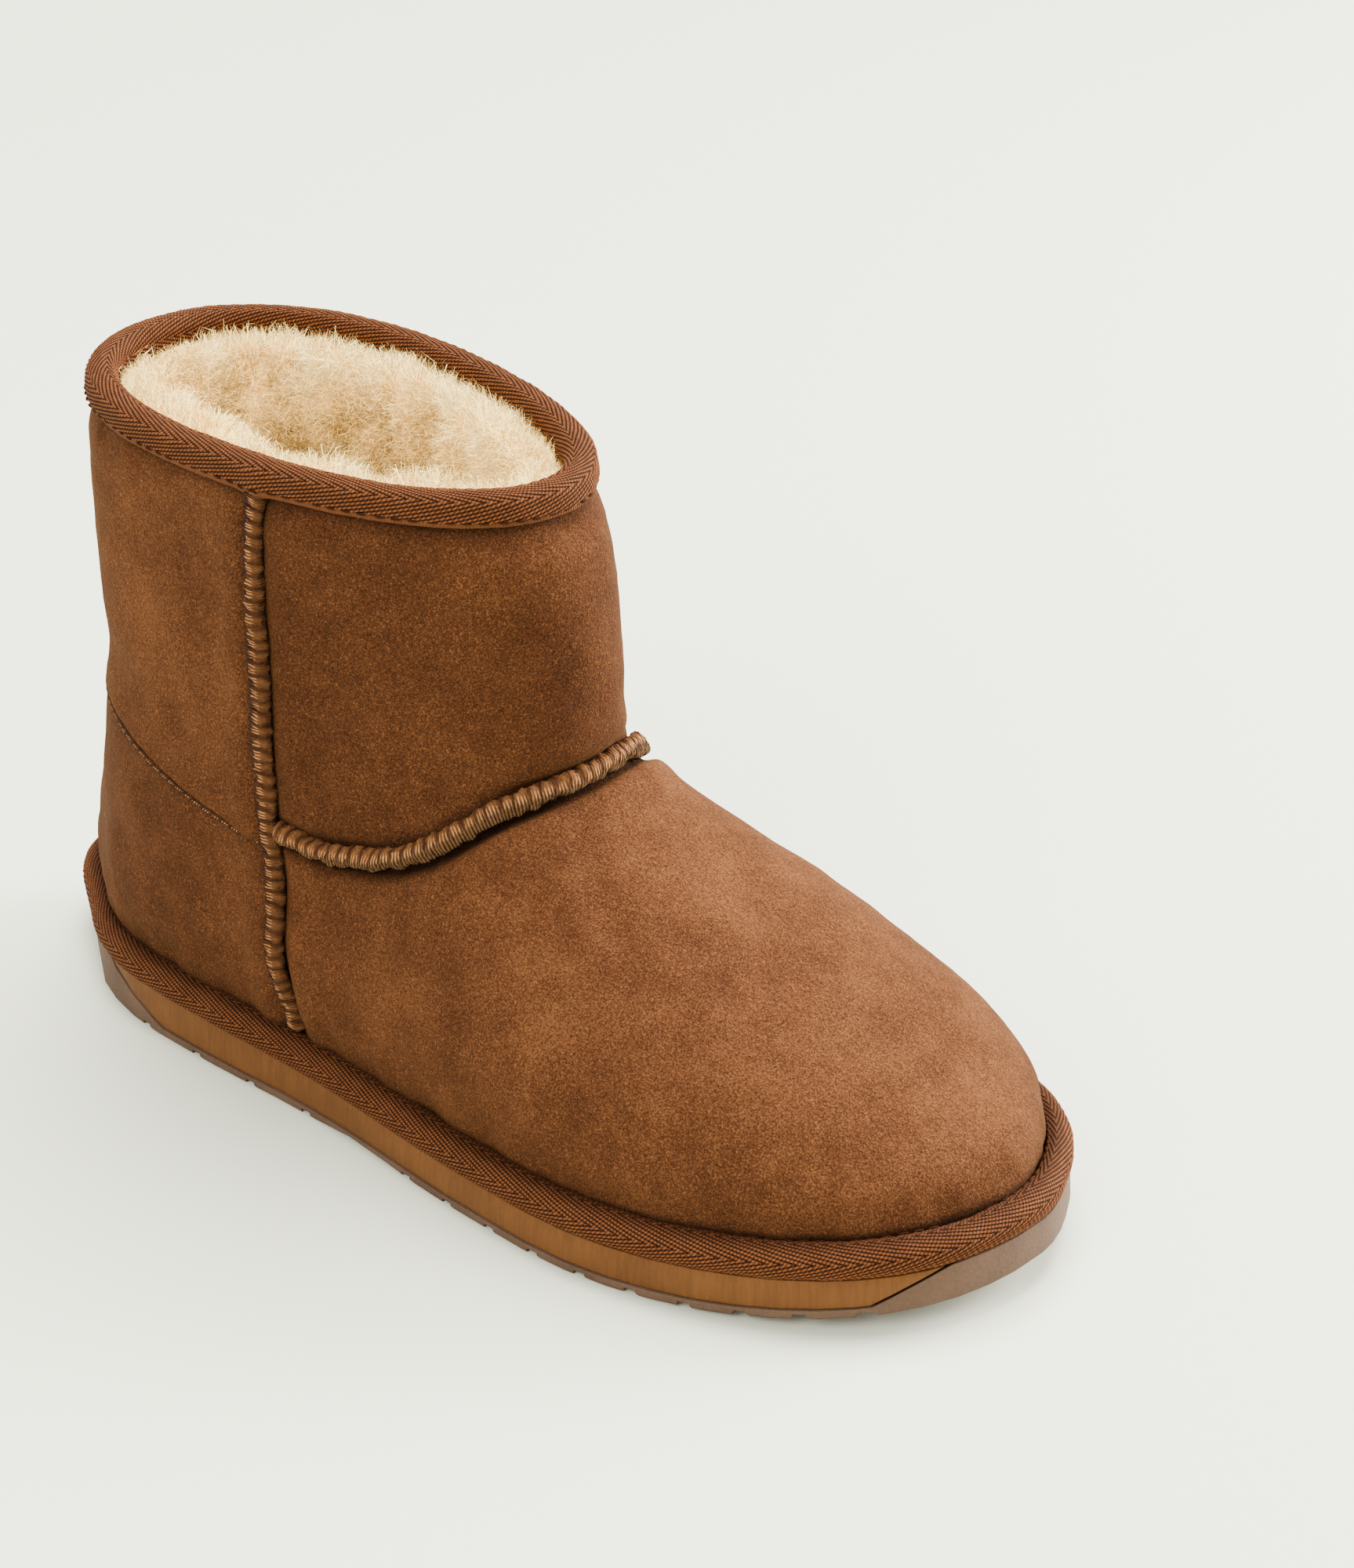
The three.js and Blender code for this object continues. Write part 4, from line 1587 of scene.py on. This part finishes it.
    def comb(
        self, spot: np.ndarray, normal: np.ndarray, depth: np.ndarray, dice: np.random.Generator
    ) -> tuple[np.ndarray, ...]:
        """Gathers the fibres into tufts and bends them.

        Args:
            spot: The roots.
            normal: Inward directions there.
            depth: How far each root lies below the rim.
            dice: Seeded random numbers.

        Returns:
            Middle places, tips and tones of the fibres.
        """
        leaders = dice.choice(len(spot), self.leaders, replace=False)
        search = KDTree(len(leaders))
        for n, i in enumerate(leaders):
            search.insert(Vector(spot[i]), n)
        search.balance()
        home = np.array([search.find(Vector(p))[1] for p in spot])
        count = len(leaders)
        up = np.array([0, 0, 1.0])
        mouth = 1 - smooth_step(depth, 8, 30)
        lean = dice.normal(0, 0.2, (count, 3))
        reach = dice.uniform(0.75, 1.3, count)
        tone = dice.random(count)
        leader = leaders[home]
        way = normal[leader] * 0.9 + up * (0.1 + 0.5 * mouth[leader])[:, None] + lean[home]
        way += dice.normal(0, 0.55, spot.shape)
        way /= np.linalg.norm(way, axis=1, keepdims=True)
        long = (self.length[0] + self.length[1] * mouth) * reach[home] * dice.uniform(0.6, 1.15, len(spot))
        peak = spot[leader] + way * (long * 1.05)[:, None]
        free = spot + way * long[:, None]
        pull = dice.uniform(0.0, 0.32, len(spot))[:, None]
        tip = free * (1 - pull) + peak * pull + dice.normal(0, 0.7, spot.shape)
        curl = dice.normal(0, 0.95, spot.shape)
        middle = spot * 0.45 + tip * 0.55 + normal * (long * 0.12)[:, None] + curl
        # Fibres deep in the boot are darker: painted shade.
        tone = tone[home] * 0.7 + dice.random(len(spot)) * 0.3 + 0.2 - 1.3 * smooth_step(depth, 13, 30)
        return middle, tip, np.clip(tone, -1, 1)

    def tufts(self, bed: bpy.types.Object) -> list[bpy.types.Object]:
        """Grows the standing wool, each fibre a narrow bent blade.

        Args:
            bed: The bed.

        Returns:
            The wool in pieces of a size that stays light.
        """
        dice = np.random.default_rng(self.seed)
        spot, normal, depth = self.roots(bed, dice)
        middle, tip, tone = self.comb(spot, normal, depth, dice)
        run = tip - spot
        side = np.cross(run, dice.normal(0, 1, run.shape))
        side /= np.linalg.norm(side, axis=1, keepdims=True)
        root = spot - normal * 0.6
        wide = dice.uniform(*self.half_width, len(spot))[:, None]
        corner = [root + side * wide, root - side * wide, middle + side * wide * 0.85,
                  middle - side * wide * 0.85, tip]
        soft = normal * 0.7 + np.array([0, 0, 0.85]) + dice.normal(0, 0.22, spot.shape)
        soft /= np.linalg.norm(soft, axis=1, keepdims=True)
        look = self.finish.make_tufts()
        order = np.array([[0, 1, 2], [1, 3, 2], [2, 3, 4]])
        reach = np.array([0, 0, 0.5, 0.5, 1.0])
        made = []
        for n in range(self.pieces):
            pick = np.arange(n, len(spot), self.pieces)
            points = np.stack([c[pick] for c in corner], axis=1).reshape(-1, 3)
            corners = (np.arange(len(pick))[:, None, None] * 5 + order[None]).reshape(-1)
            chart = np.stack([np.repeat(tone[pick], 5), np.tile(reach, len(pick))], axis=1)
            facing = np.repeat(soft[pick], 5, axis=0)
            item = self.sheaf(f"fleece_tufts_{n + 1}", points, corners, chart, facing)
            dress(item, look, "fleece")
            made.append(item)
        return made

    @staticmethod
    def sheaf(
        name: str, points: np.ndarray, corners: np.ndarray, chart: np.ndarray, facing: np.ndarray
    ) -> bpy.types.Object:
        """Makes many fibres one piece.

        Args:
            name: The piece's name.
            points: Places in boot millimetres.
            corners: Three point numbers for each triangle, in one row.
            chart: Map values of the points.
            facing: Directions that the points are shaded by.

        Returns:
            The piece.
        """
        mesh = bpy.data.meshes.new(name)
        mesh.vertices.add(len(points))
        mesh.vertices.foreach_set("co", BOOT.to_frame(points).astype(np.float32).ravel())
        mesh.loops.add(len(corners))
        mesh.loops.foreach_set("vertex_index", corners.astype(np.int32))
        mesh.polygons.add(len(corners) // 3)
        mesh.polygons.foreach_set("loop_start", np.arange(0, len(corners), 3, dtype=np.int32))
        mesh.update(calc_edges=True)
        layer = mesh.uv_layers.new(name="UVMap")
        layer.data.foreach_set("uv", chart[corners].astype(np.float32).ravel())
        mesh.shade_smooth()
        mesh.normals_split_custom_set_from_vertices(facing.tolist())
        item = bpy.data.objects.new(name, mesh)
        bpy.context.scene.collection.objects.link(item)
        return item


# ---------------------------------------------------------------- sole


@dataclass
class Sole:
    """The foam midsole and the rubber outsole."""

    bench: Bench
    edge: float = 0.12

    def build(self) -> list[bpy.types.Object]:
        """Builds both layers with softened edges.

        Returns:
            The midsole and the outsole.
        """
        made = []
        for node, name, look, slot in (
            ("midsole", "midsole_foam", FoamFinish().make(), "foam"),
            ("outsole", "outsole_rubber", RubberFinish().make(), "rubber"),
        ):
            item = self.bench.copy(node, name)
            self.bench.edit(item, (bpy.ops.mesh.dissolve_limited, {"angle_limit": 0.004}))
            self.bench.finish(
                item, "BEVEL", width=self.edge / 1000, segments=2, limit_method="ANGLE",
                angle_limit=math.radians(38), harden_normals=False,
            )
            self.bench.take(item)
            bpy.ops.object.shade_smooth_by_angle(angle=math.radians(34))
            dress(item, look, slot, node)
            made.append(item)
        return made


# ---------------------------------------------------------------- studio


@dataclass
class Studio:
    """Pale floor, soft lights and the camera."""

    look_at: tuple[float, float, float] = (0.03454, 0.01230, 0.080)
    azimuth: float = 39.72
    elevation: float = 26.61
    distance: float = 0.7828
    lens: float = 83.6
    floor_size: float = 60
    paper: Colour = linear(206, 208, 190)
    air_colour: Colour = (0.95, 0.95, 0.88, 1)
    air_strength: float = 1.55

    def floor(self) -> bpy.types.Object:
        """Lays the floor.

        Returns:
            The floor.
        """
        bpy.ops.mesh.primitive_plane_add(size=self.floor_size, location=(0, 0, 0))
        item = bpy.context.active_object
        item.name = "studio_floor"
        desk = Desk("studio_paper")
        item.data.materials.append(
            desk.finish(Base_Color=self.paper, Roughness=0.9, Specular_IOR_Level=0.1)
        )
        return item

    def sun(self, name: str, towards: tuple, power: float, width: float, tint: tuple) -> None:
        """Sets an even soft light from far away.

        Args:
            name: The light's name.
            towards: Direction to the light.
            power: Its watts a square metre.
            width: Its width in degrees, which softens the shadow.
            tint: Its colour.
        """
        data = bpy.data.lights.new(name, "SUN")
        data.angle, data.energy, data.color = math.radians(width), power, tint
        item = bpy.data.objects.new(name, data)
        item.rotation_euler = Vector(towards).to_track_quat("Z", "Y").to_euler()
        bpy.context.scene.collection.objects.link(item)

    def light(
        self, name: str, place: tuple, aim: tuple, size: float, power: float, tint: tuple
    ) -> None:
        """Hangs a square soft light.

        Args:
            name: The light's name.
            place: Its middle.
            aim: What it points at.
            size: Its side.
            power: Its watts.
            tint: Its colour.
        """
        data = bpy.data.lights.new(name, "AREA")
        data.size, data.energy, data.color = size, power, tint
        item = bpy.data.objects.new(name, data)
        item.location = place
        item.rotation_euler = (Vector(aim) - Vector(place)).to_track_quat("-Z", "Y").to_euler()
        bpy.context.scene.collection.objects.link(item)

    def air(self) -> None:
        """Fills the room with even pale light."""
        world = bpy.data.worlds.new("studio_air")
        world.use_nodes = True
        sky = world.node_tree.nodes["Background"]
        sky.inputs["Color"].default_value = self.air_colour
        sky.inputs["Strength"].default_value = self.air_strength
        bpy.context.scene.world = world

    def camera(self) -> None:
        """Sets the camera on a circle around the point it looks at."""
        turn, rise = math.radians(self.azimuth), math.radians(self.elevation)
        level = Vector((math.sin(turn), -math.cos(turn), 0))
        back = level * math.cos(rise) + Vector((0, 0, math.sin(rise)))
        data = bpy.data.cameras.new("camera")
        data.lens, data.sensor_width, data.clip_start = self.lens, 36.0, 0.01
        item = bpy.data.objects.new("camera", data)
        item.location = Vector(self.look_at) + back * self.distance
        item.rotation_euler = back.to_track_quat("Z", "Y").to_euler()
        bpy.context.scene.collection.objects.link(item)
        bpy.context.scene.camera = item

    def build(self) -> None:
        """Sets everything up."""
        self.floor()
        self.sun("high_sun", (-0.12, 0.3, 1.0), 11.4, 40, (1.0, 0.99, 0.97))
        self.light("front", (0.2, -1.5, 1.3), (0, 0, 0.12), 0.9, 40, (1.0, 0.98, 0.94))
        self.light("far_right", (0.7, 1.2, 0.5), (0, 0, 0.1), 0.7, 95, (1.0, 0.98, 0.95))
        self.air()
        self.camera()


def main() -> None:
    """Builds the boot's looks piece by piece."""
    logging.basicConfig(level=logging.INFO, format="%(name)s %(message)s")
    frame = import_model()
    bench = Bench(frame["nodes"])
    suede = SuedeFinish().make()
    upper = SuedeUpper(bench, SeamPlan())
    upper.build(suede)
    side_look = CordFinish("side_cord", linear(96, 61, 35), linear(64, 36, 20))
    front_look = CordFinish("front_cord", linear(116, 75, 42), linear(110, 78, 48))
    for side, seed in ((Side.OUTER, 1.0), (Side.INNER, 5.0)):
        route = upper.routes[f"{side.value}_side"]
        SeamCord(bench, f"{side.value}_side_seam", route, seed=seed).build(side_look.make())
    SeamCord(bench, "front_seam", upper.routes["front"], seed=9.0).build(front_look.make())
    edge_look = CordFinish("counter_edge", linear(66, 40, 21), linear(54, 31, 16)).make()
    for side in Side:
        route = upper.routes[f"{side.value}_counter"]
        FlatSeam(bench, f"{side.value}_counter_edge", route).build(edge_look)
    thread = ThreadFinish().make()
    welt = Tape(
        bench, "welt_binding", "welt_tape", "welt_twill", middle=(137, 0), spread=85, aim=2.7,
        centre=(-4.5, 3.2), sweep=(-62, 116), stitch_at=1.5, stitch_from_top=True,
        edge_width=1.3,
    )
    collar = Tape(
        bench, "collar_binding", "collar_tape", "collar_twill", middle=(86, 2), spread=30,
        aim=-3.0, centre=(-3.7, -3.0), sweep=(-36, 231), rows=92, stitch_at=1.9,
        edge_width=1.6, over_seam=1.1,
    )
    for tape in (welt, collar):
        _, stitches = tape.build()
        dress(stitches, thread, "tape")
    fleece = Fleece(bench, FleeceFinish())
    bed = fleece.bed()
    fleece.insole()
    fleece.tufts(bed)
    Sole(bench).build()
    Studio().build()


if __name__ == "__main__":
    main()
